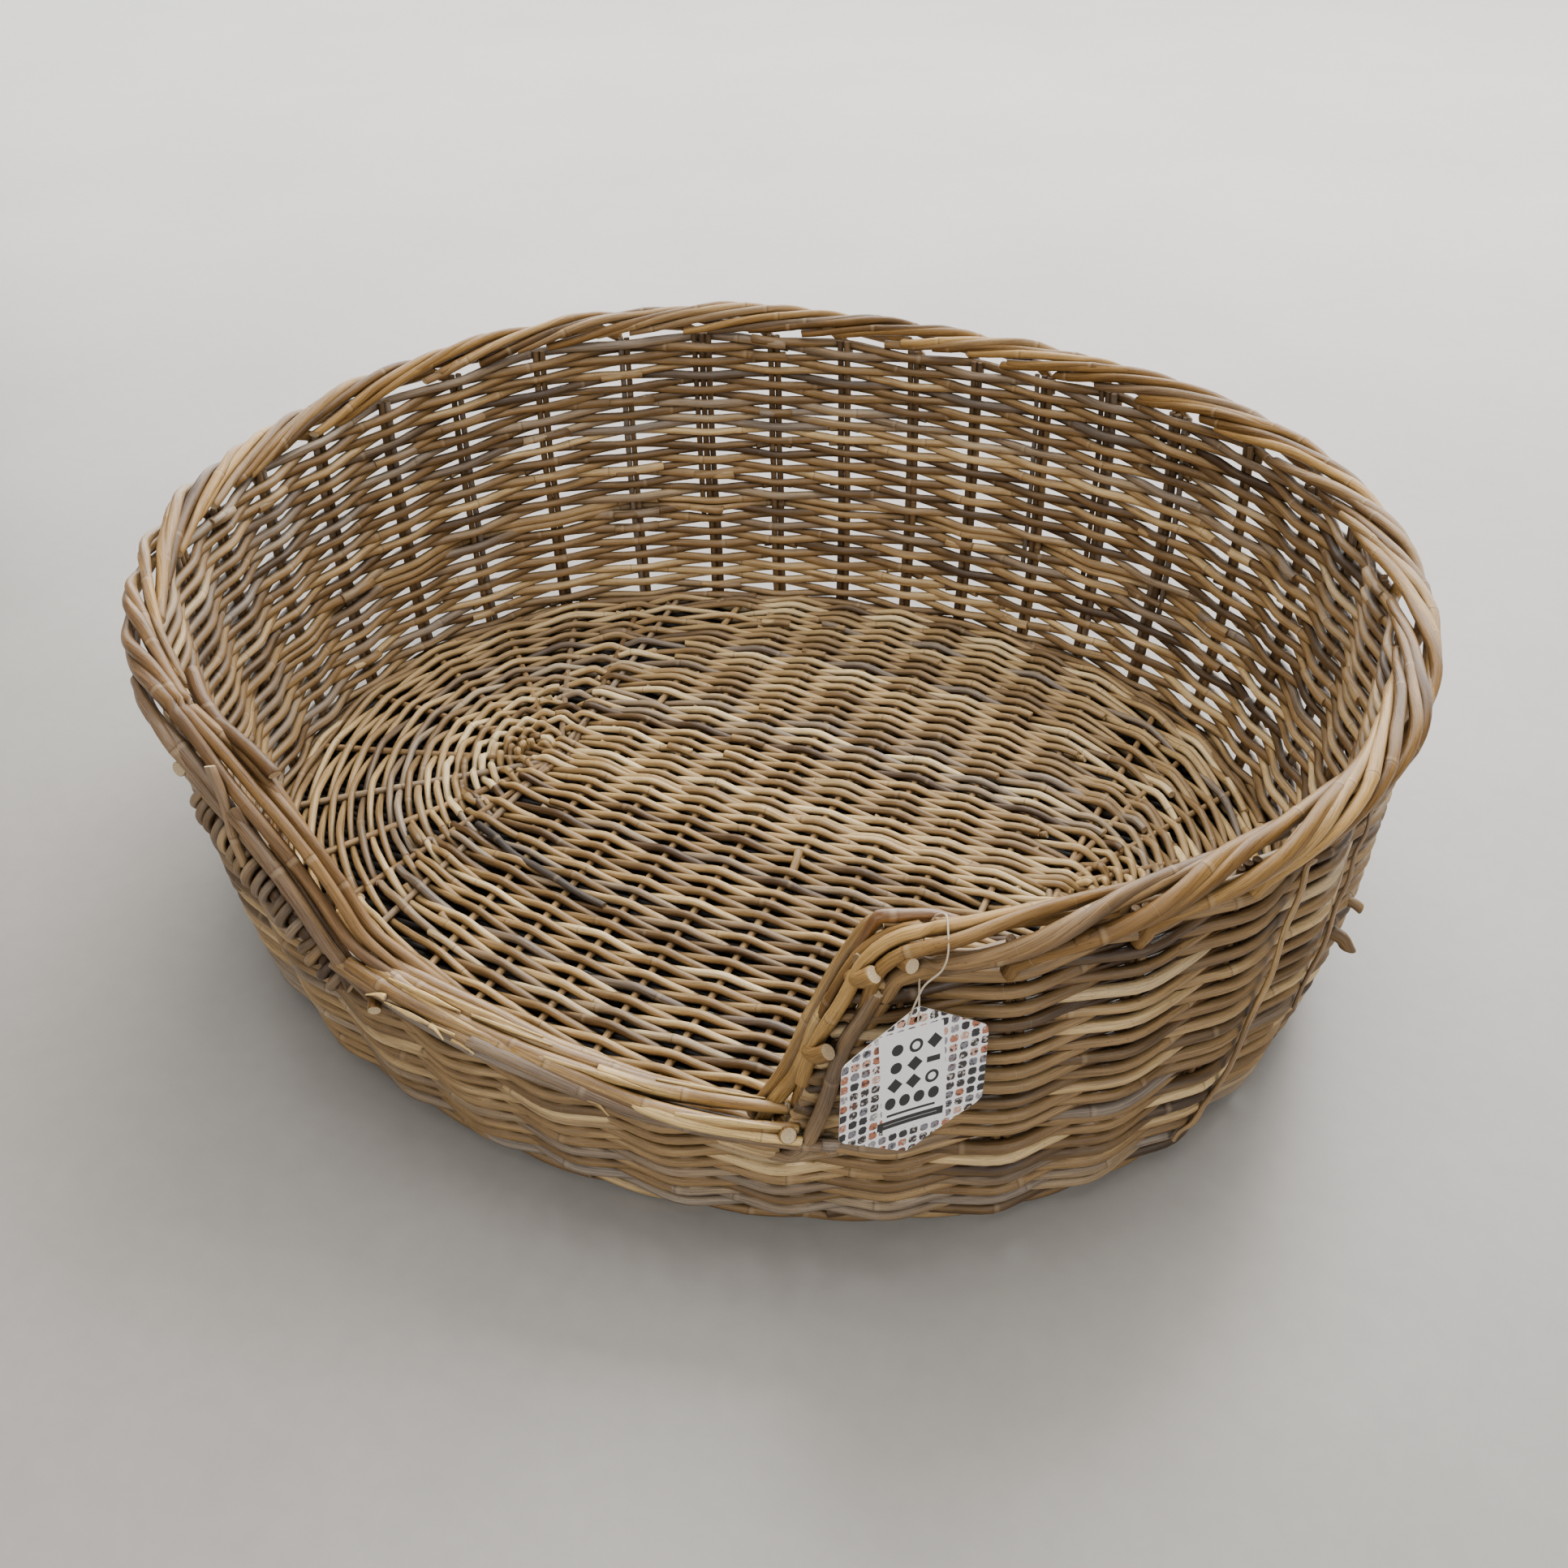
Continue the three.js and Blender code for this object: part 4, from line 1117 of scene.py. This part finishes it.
for x in strands:
    s0, s1 = x["s0"], x["s1"]
    a, c = max(s0, S_LO), min(s1, S_HI)
    n = max(8, int((c - a) * 11))
    s = np.linspace(a, c, n)
    q = (s - s0) / (s1 - s0)
    psi = np.radians(np.interp(q, PSI_Q, PSI_V) + RNG.normal(0, 9) + wiggle(n, 5, 5.0, 70))
    psi = np.convolve(np.pad(psi, 4, mode="edge"), np.ones(9) / 9, mode="valid")
    lay = LAY + RNG.uniform(-0.7, 0.9) + 1.5 * np.exp(-((q - 0.36) / 0.13) ** 2) + wiggle(n, 5, 0.9, 50)
    pts, refs = rim_point(stake_deg(s), psi, lay)
    r = STRAND * (1.03 - 0.24 * q) * RNG.uniform(0.82, 1.04)
    grey = (RNG.random() < 0.22) * RNG.uniform(0.3, 0.9)
    for key, edge, row in (("right", GR, 0), ("left", GL, -1)):
        if not x[key] or "slot" not in x:
            continue
        tn, tb, reach, g = x["slot"]
        grey = g
        k = max(5, int(reach / 6))
        e = np.linspace(reach / k, reach, k)
        f = np.clip(e / 58, 0, 1)
        f = f * f * (3 - 2 * f)
        n0, b0 = lay[row] * math.cos(psi[row]), lay[row] * math.sin(psi[row])
        dip = np.clip((e - reach + 42) / 42, 0, 1) ** 2 * (9.0 if key == "left" else 3.0)
        loose = 1.7 if key == "left" else 0.8
        more, mref = edge.at(e, n0 * (1 - f) + tn * f + wiggle(k, 5, loose, 70),
                             b0 * (1 - f) + tb * f - dip + wiggle(k, 5, loose, 70))
        if key == "right":
            pts, refs, r = np.vstack([more[::-1], pts]), np.vstack([mref[::-1], refs]), np.concatenate([np.full(k, r[0]), r])
        else:
            pts, refs, r = np.vstack([pts, more]), np.vstack([refs, mref]), np.concatenate([r, np.linspace(r[-1], r[-1] * RNG.uniform(0.74, 1.06), k)])
    if x["right"] or x["left"]:
        # ease the join
        for _ in range(3):
            pts[1:-1] = pts[1:-1] * 0.5 + (pts[:-2] + pts[2:]) * 0.25
    if s0 >= S_LO - 0.2 and x["pair"] == 0:
        # the strand is the top of a stake, bent over outside its neighbour
        d0 = stake_deg(s0)
        o = outward(d0)
        foot = wall(d0 - 0.4, 0.90, 1.5)
        kn = wall(d0 - 0.1, 0.945, -3.5)
        lead = smooth_line([foot, kn, pts[0], pts[3]], step=5)
        lead = lead[:-2]
        lead = lead[:max(3, len(lead) - 3)]
        refs = np.vstack([np.tile(o, (len(lead), 1)), refs[2:]])
        r = np.concatenate([np.full(len(lead), r[0] * 0.94), r[2:]])
        pts = np.vstack([lead, pts[2:]])
    which = min(2, int(np.clip((x["i"] + 1) // 11, 0, 2)))
    if not x["left"] and x["s1"] > S_HI - 1.1:
        k = min(10, len(pts) // 3)
        f = np.linspace(0, 1, k) ** 2
        pts[-k:] = pts[-k:] - outward(236.0) * (6.0 * f)[:, None] - np.array([0, 0, 1.0]) * (7.0 * f)[:, None]
        r = np.concatenate([r[:-k], r[-k:] * (1 - 0.35 * f)])
    (rim_left if x["left"] else rim[which]).rod(pts, r, ref=refs, sides=12, knots=RNG.uniform(85, 150), cuts=(0.3, 0.9), grey=grey,
                   tone=(0.82 if x.get("slot", (0, 0, 0))[2] in (170, 128) else 0.44) if (x["right"] and grey == 0) else (0.45 if x["left"] else None))
rim_left.make("rim_strands_left", (M_BROWN, M_PITH), slot="cane_border")
for i, b in enumerate(rim):
    b.make(f"rim_strands_{i + 1}", (M_RIM, M_PITH), slot="cane_border", replaces=(f"rim_rod_{i + 1}",))

# ----------------------------------------------- the entrance: lower lip rods
b = Bundle()
LIPR = [  # angle round the border's middle, radius, start, end, grey, tone
    (-62, 4.0, 257.0, 279.0, 0.7, 0.45),
    (-40, 4.4, 260.5, 297.4, 0.8, 0.5),
    (-8, 4.2, 270.0, 296.2, 0.55, 0.5),
    (2, 4.0, 256.4, 274.5, 0.2, 0.45),
    (28, 4.3, 258.0, 284.0, 0.0, 0.5),
    (52, 4.2, 259.4, 271.5, 0.0, 0.75),
    (60, 4.0, 273.5, 294.6, 0.0, 0.62),
    (84, 4.5, 260.2, 281.0, 0.0, 0.7),
    (96, 4.1, 279.8, 293.9, 0.0, 0.8),
    (118, 4.3, 258.6, 290.5, 0.0, 0.6),
    (150, 4.4, 257.4, 293.4, 0.0, 0.5),
    (196, 4.2, 257.0, 292.6, 0.2, 0.4),
    (34, 3.8, 282.0, 294.9, 0.0, 0.85),
]
for ang, r, d0, d1, g, tone in LIPR:
    n = int((d1 - d0) * 1.3) + 8
    deg = np.linspace(d0, d1, n)
    f = (deg - 256) / 40
    psi = np.radians(ang + 24 * np.sin(f * 4.2 + ang * 0.03) + 7 * np.sin(f * 9 + ang))
    c = wall(deg, lip_u(deg) + 0.062, MID)
    o = outward(deg)
    rad = 9.6 + wiggle(n, 6, 0.8, 60)
    p = c + o * (rad * 1.12 * np.cos(psi))[:, None] + np.array([0, 0, 1.0]) * (rad * 0.80 * np.sin(psi))[:, None]
    b.rod(p, np.linspace(r * 1.06, r * 0.80, n), ref=(0, 0, 1), sides=12, knots=85, grey=g, tone=tone, cuts=(0.5, 0.9))
# split lengths of cane lying along the lip, and a few splinters
for ang, r, d0, d1 in ((74, 1.3, 262, 268.5), (100, 1.1, 266, 275), (66, 1.2, 276, 284), (108, 1.0, 284, 292), (40, 1.4, 286, 293.5),
                       (88, 1.0, 269.5, 276), (20, 1.2, 262.5, 269)):
    n = int((d1 - d0) * 2) + 6
    deg = np.linspace(d0, d1, n)
    psi = np.radians(ang + np.linspace(-5, 5, n))
    c = wall(deg, lip_u(deg) + 0.062, MID)
    p = c + outward(deg) * (15.0 * np.cos(psi))[:, None] + np.array([0, 0, 1.0]) * (11.6 * np.sin(psi))[:, None]
    b.rod(p, np.concatenate([np.linspace(r * 0.5, r, n // 2), np.linspace(r, r * 0.35, n - n // 2)]), ref=outward(270.0), sides=8,
          knots=0, tone=0.95, grey=0.0, flat=2.2, rough=0.2, cuts=(0.9, 0.9))
for d, du, dx, dz, ln in ((267.4, 0.020, -6, -5, 13), (269.6, 0.006, -9, -2, 15), (280.3, -0.004, -7, -8, 15), (262.0, 0.03, 8, -4, 9)):
    o = outward(d)
    a0 = wall(d, lip_u(d) + 0.062 + du, MID) + o * 13.5
    e = np.array([-o[1], o[0], 0.0])
    tip = a0 - e * dx + np.array([0, 0, dz * 0.8]) + o * 2.4
    b.rod(smooth_line([a0 + e * dx * 0.6, a0 + o * 0.8, tip], n=8), np.linspace(2.2, 0.5, 8), ref=o, sides=8, knots=0, tone=0.85,
          grey=0.0, flat=0.6, rough=0.15, cuts=(0.8, 0.8))
for du, off, r in ((0.010, MID - 3.6, 3.5), (0.014, MID + 3.6, 3.5), (-0.012, MID - 3.2, 3.1), (-0.008, MID + 3.6, 3.1)):
    deg = np.linspace(254.6, 296.4, 60)
    b.rod(wall(deg, lip_u(deg) + du, off) + wiggle(60, 7, 0.5, 50)[:, None] * np.array([0, 0, 1.0]), r, ref=(0, 0, 1), sides=10,
          knots=120, grey=0.2, tone=0.4, cuts=(0.4, 0.9))
b.make("lip_rods", (M_GOLD, M_PITH), slot="cane_border", replaces=("lip_rod_outer", "lip_rod_inner", "lip_rod_top"))

# ----------------------------------------- the entrance: rods down both sides
b = Bundle()
LEFT = [
    (4.9, 0.0, 0.42, [(-262, -281, 240), (-238, -300, 236), (-199, -318, 226), (-166, -330, 212), (-141, -338, 186),
                      (-119, -345, 166), (-101, -352, 150), (-84, -358, 142)]),
    (4.6, 0.0, 0.34, [(-268, -292, 229), (-240, -303, 232), (-210, -313, 232), (-186, -321, 229), (-166, -328, 224)]),
    (4.4, 0.35, 0.5, [(-243, -322, 205), (-214, -337, 203), (-184, -349, 197), (-160, -357, 186), (-140, -363, 172),
                      (-124, -368, 156), (-112, -371, 142)]),
]
LEFT += [
    (3.7, 0.55, 0.45, [(-176, -352, 214), (-158, -358, 190), (-140, -362, 166), (-122, -366, 148), (-104, -370, 136)]),
    (3.5, 0.0, 0.4, [(-150, -356, 200), (-128, -364, 176), (-112, -368, 156), (-98, -372, 141), (-82, -376, 133)]),
    (3.4, 0.2, 0.35, [(-122, -352, 168), (-114, -364, 152), (-106, -372, 137), (-97, -377, 126)]),
    (3.2, 0.6, 0.6, [(-196, -345, 232), (-184, -352, 214), (-180, -356, 196), (-173, -360, 178)]),
]
for r, g, tone, pts in LEFT:
    line3 = smooth_line(pts, step=6)
    b.rod(line3, np.linspace(r, r * 0.9, len(line3)), ref=(0.3, 0.5, 1), sides=12, knots=130, grey=g, tone=tone,
          cuts=(0.4, 0.9))
# the upright that the rows turn back round, below the thick rods
up_line = [(238.6, 0.86), (239.9, 0.80), (242.7, 0.765), (245.6, 0.735), (248.3, 0.70), (250.3, 0.655), (252.4, 0.603),
           (253.7, 0.545), (255.2, 0.49)]
up_line = np.array(up_line)
post = smooth_line(wall(up_line[:, 0] + 0.5, up_line[:, 1] + 0.012, 1.0), step=6)
b.rod(post, 5.6, ref=(0, 0, 1), sides=12, tone=0.35, knots=90)
b.make("gate_rods_left", (M_BROWN, M_PITH), slot="cane_border", replaces=("gate_post_left_outer", "gate_post_left_inner"))

b = Bundle()
dens = smooth_line(up_line, n=40)
for k in range(17):
    f = k / 16 * 0.88 + 0.08 + RNG.uniform(-0.012, 0.012)
    i = f * 39
    c = np.array([np.interp(i, np.arange(40), dens[:, 0]), np.interp(i, np.arange(40), dens[:, 1])])
    d = np.array([np.interp(i + 1, np.arange(40), dens[:, 0]), np.interp(i + 1, np.arange(40), dens[:, 1])]) - c
    pc = wall(c[0] + 0.5, c[1] + 0.012, 1.0)
    pd = wall(c[0] + d[0] + 0.5, c[1] + d[1] + 0.012, 1.0)
    ax = (pd - pc) / np.linalg.norm(pd - pc)
    o = outward(c[0])
    o = o - ax * (o @ ax)
    o /= np.linalg.norm(o)
    w = np.cross(ax, o)
    rr = 8.3 + RNG.uniform(-0.7, 0.9)
    a0, a1 = math.radians(-150 + RNG.uniform(-10, 10)), math.radians(150 + RNG.uniform(-10, 10))
    an = np.linspace(a0, a1, 22)
    slide = np.linspace(-1, 1, 22) * RNG.uniform(1.5, 7.5)
    p = pc + rr * (np.cos(an)[:, None] * o + np.sin(an)[:, None] * w) + ax * slide[:, None]
    tails0 = p[0] + (wall(c[0] - 6, c[1] + 0.004, 8.0) - pc) * np.linspace(0.75, 0.0, 5, endpoint=False)[:, None]
    p = np.vstack([tails0, p])
    b.rod(p, RNG.uniform(2.5, 3.6), ref=ax, sides=10, knots=0, tone=RNG.uniform(0.2, 0.6), grey=RNG.uniform(0.1, 0.6), cuts=(0.4, 0.8))
b.make("gate_wraps_left", (M_WALL, M_PITH), slot="cane_weave")

b, bo = Bundle(), Bundle()
RIGHT = [
    (3.7, 0.0, 0.30, [(241, -317, 252), (229, -322, 256), (218, -328, 257), (211, -332, 257.5), (207, -333.5, 257), (205, -334.5, 254),
                      (203, -336, 249), (200, -338, 239), (197, -339, 228), (194, -341, 213), (190, -342, 200), (187, -343, 186),
                      (184.5, -343, 174)]),
    (4.7, 0.15, 0.5, [(206, -328, 250), (203, -330, 249), (200, -332, 245), (195, -335, 235), (190, -337, 224), (184, -339, 208),
                      (179, -341, 193), (174, -342, 178), (168, -343, 157), (162, -343, 139), (155, -343, 122), (148, -343, 107),
                      (143, -343, 97)]),
    (4.5, 0.0, 0.55, [(188, -344, 204), (180, -346, 182), (175, -347, 161), (169, -347, 142), (161, -348, 125), (154, -348, 109),
                      (149, -347, 94), (146, -346, 84)]),
    (4.4, 0.5, 0.5, [(214, -351, 226), (208, -353, 208), (200, -355, 188), (195, -356, 166), (191, -357, 144), (185, -357, 120),
                     (179, -358, 102), (171, -358, 91), (160, -357, 86)]),
]
for i, (r, g, tone, pts) in enumerate(RIGHT):
    line3 = smooth_line(pts, step=4)
    (bo if i == 0 else b).rod(line3, np.linspace(r * 0.95, r, len(line3)), ref=(0.6, -0.6, 0.5), sides=12, knots=120, grey=g, tone=tone,
          cuts=(0.5, 0.4))
b.make("gate_rods_right", (M_GOLD, M_PITH), slot="cane_border", replaces=("gate_post_right_outer", "gate_post_right_inner"))
bo.make("gate_rod_right_thin", (M_ORANGE, M_PITH), slot="cane_border")

# -------------------------------------------------- round cut ends beside it
UPR = np.array([0.68, 0.06, 0.73])
PEGS = {  # end of the rod, its radius, the way it points
    "rod_end_left": [((-238, -331, 208), 5.0, (0.10, -0.88, 0.30))],
    "rod_end_right_top": [((214, -358, 243), 4.6, UPR), ((231, -353, 251), 4.2, (0.86, -0.34, 0.30))],
    "rod_end_right_mid": [((194, -364, 187), 4.6, UPR)],
    "rod_end_right_low": [((173, -365, 115), 4.7, (0.62, -0.45, 0.62)), ((-72, -388, 128), 4.0, (0.55, -0.72, -0.10))],
}
for name, rows in PEGS.items():
    b = Bundle()
    for end, r, d in rows:
        end, d = np.array(end, float), np.array(d, float)
        d /= np.linalg.norm(d)
        p = smooth_line([end - d * 22 + np.array([0, 12.0, 0]), end - d * 9 + np.array([0, 2.0, 0]), end], step=3)
        b.rod(p, np.linspace(r * 0.92, r, len(p)), ref=(0.3, -0.7, 0.2), sides=16, knots=0, tone=0.62, grey=0.0, cuts=(0.1, 0.15))
    b.make(name + "_cut", (M_RIM, M_PITH), slot="cane_border", replaces=(name,))

# --------------------------------------------- thin strips and broken stubs
b = Bundle()
for pts, w in (([(334.0, 0.93), (333.4, 0.902), (332.3, 0.746), (331.2, 0.514), (330.1, 0.234), (327.5, 0.10)], 1.5),
               ([(345.2, 0.97), (344.1, 0.93), (341.6, 0.78), (340.6, 0.612), (339.9, 0.369)], 1.2)):
    q = smooth_line(np.array(pts), n=60)
    off = -4.6 - 0.8 * np.cos(np.linspace(0, 30, 60))
    p = wall(q[:, 0], q[:, 1], off)
    b.rod(p, w, ref=outward(q[:, 0]), sides=10, knots=0, tone=0.6, grey=0.3, flat=1.5, rough=0.12)
b.make("wall_strips", (M_GOLD, M_PITH), slot="cane_weave")
b = Bundle()
o = outward(346.8)
a = wall(346.8, 0.47, 2.0)
b.rod(smooth_line([a, a + o * 7 + np.array([1, 1, -2.0]), a + o * 11 + np.array([2, 2, -9.0])], step=2.5), 4.3, ref=(0, 0, 1),
      sides=12, knots=0, tone=0.25, cuts=(0, 0.9))
a = wall(347.6, 0.56, 2.0)
b.rod(smooth_line([a, a + o * 6 + np.array([1, 1, -1.0]), a + o * 9.5 + np.array([2, 2, -4.0])], step=2.5), 3.2, ref=(0, 0, 1),
      sides=12, knots=0, tone=0.45, cuts=(0, 0.7))
b.make("broken_stub", (M_WALL, M_PITH), slot="cane_weave")

# -------------------------------------------------------------------- stage
bpy.ops.mesh.primitive_plane_add(size=14, location=(0, 2.0, 0))
floor = bpy.context.object
floor.name = "floor"
mat, nt, bsdf = nodes_of("floor_plain")
tc = nt.nodes.new("ShaderNodeTexCoord")
fn = noise(nt, tc.outputs["Object"], (1.6, 1.6, 1.6), 6, 0.6)
fn2 = noise(nt, tc.outputs["Object"], (60, 60, 60), 3, 0.6)
fc = ramp(nt, fn, [(0.3, lin(150, 146, 141)), (0.7, lin(168, 164, 158))])
fc = mix(nt, "MULTIPLY", 0.6, fc, ramp(nt, fn2, [(0.3, grey3(0.93)), (0.7, grey3(1.03))]))
nt.links.new(fc, bsdf.inputs["Base Color"])
bsdf.inputs["Roughness"].default_value = 0.36
bsdf.inputs["Specular IOR Level"].default_value = 0.6
floor.data.materials.append(mat)
floor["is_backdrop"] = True

world = bpy.data.worlds.new("studio")
bpy.context.scene.world = world
world.use_nodes = True
bg = world.node_tree.nodes["Background"]
bg.inputs[0].default_value = (0.93, 0.95, 1.0, 1)
bg.inputs[1].default_value = 0.10


def lamp(name, loc, target, size, power, color=(1, 1, 1)):
    ld = bpy.data.lights.new(name, "AREA")
    ld.shape = "RECTANGLE"
    ld.size, ld.size_y = size
    ld.energy = power
    ld.color = color
    ob = bpy.data.objects.new(name, ld)
    bpy.context.scene.collection.objects.link(ob)
    ob.location = loc
    d = np.array(target, float) - np.array(loc, float)
    d /= np.linalg.norm(d)
    from mathutils import Vector
    ob.rotation_euler = Vector(d).to_track_quat("-Z", "Y").to_euler()
    return ob


lamp("overhead", (0.1, -0.1, 3.3), (0, 0, 0.1), (2.4, 2.4), 76, (1.0, 0.99, 0.97))
lamp("key", (-0.4, 2.2, 3.0), (0, 0, 0.1), (3.0, 2.0), 128, (1.0, 0.985, 0.96))
lamp("window", (-1.0, 6.6, 2.3), (0, 0, 0.2), (15.0, 3.8), 1060, (1.0, 0.99, 0.97))
lamp("left", (-2.4, -0.4, 1.7), (0, 0, 0.1), (1.8, 1.6), 13, (1.0, 0.99, 0.97))
lamp("front", (-0.4, -2.9, 1.5), (0, -0.3, 0.1), (2.6, 1.6), 33, (1.0, 0.985, 0.965))
lamp("back", (0.5, 2.1, 2.1), (0.5, 1.5, 0.0), (4.0, 1.4), 66, (1.0, 0.99, 0.97))
lamp("fill", (2.3, -1.6, 1.5), (0, 0, 0.1), (1.8, 1.4), 33, (1.0, 0.99, 0.975))

# --------------------------------------------------------------------- size
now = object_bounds()


def plain(x):
    if hasattr(x, "__len__"):
        return [plain(y) for y in x]
    return float(x)


{"cad": plain(cad_box), "visual": plain(now)}
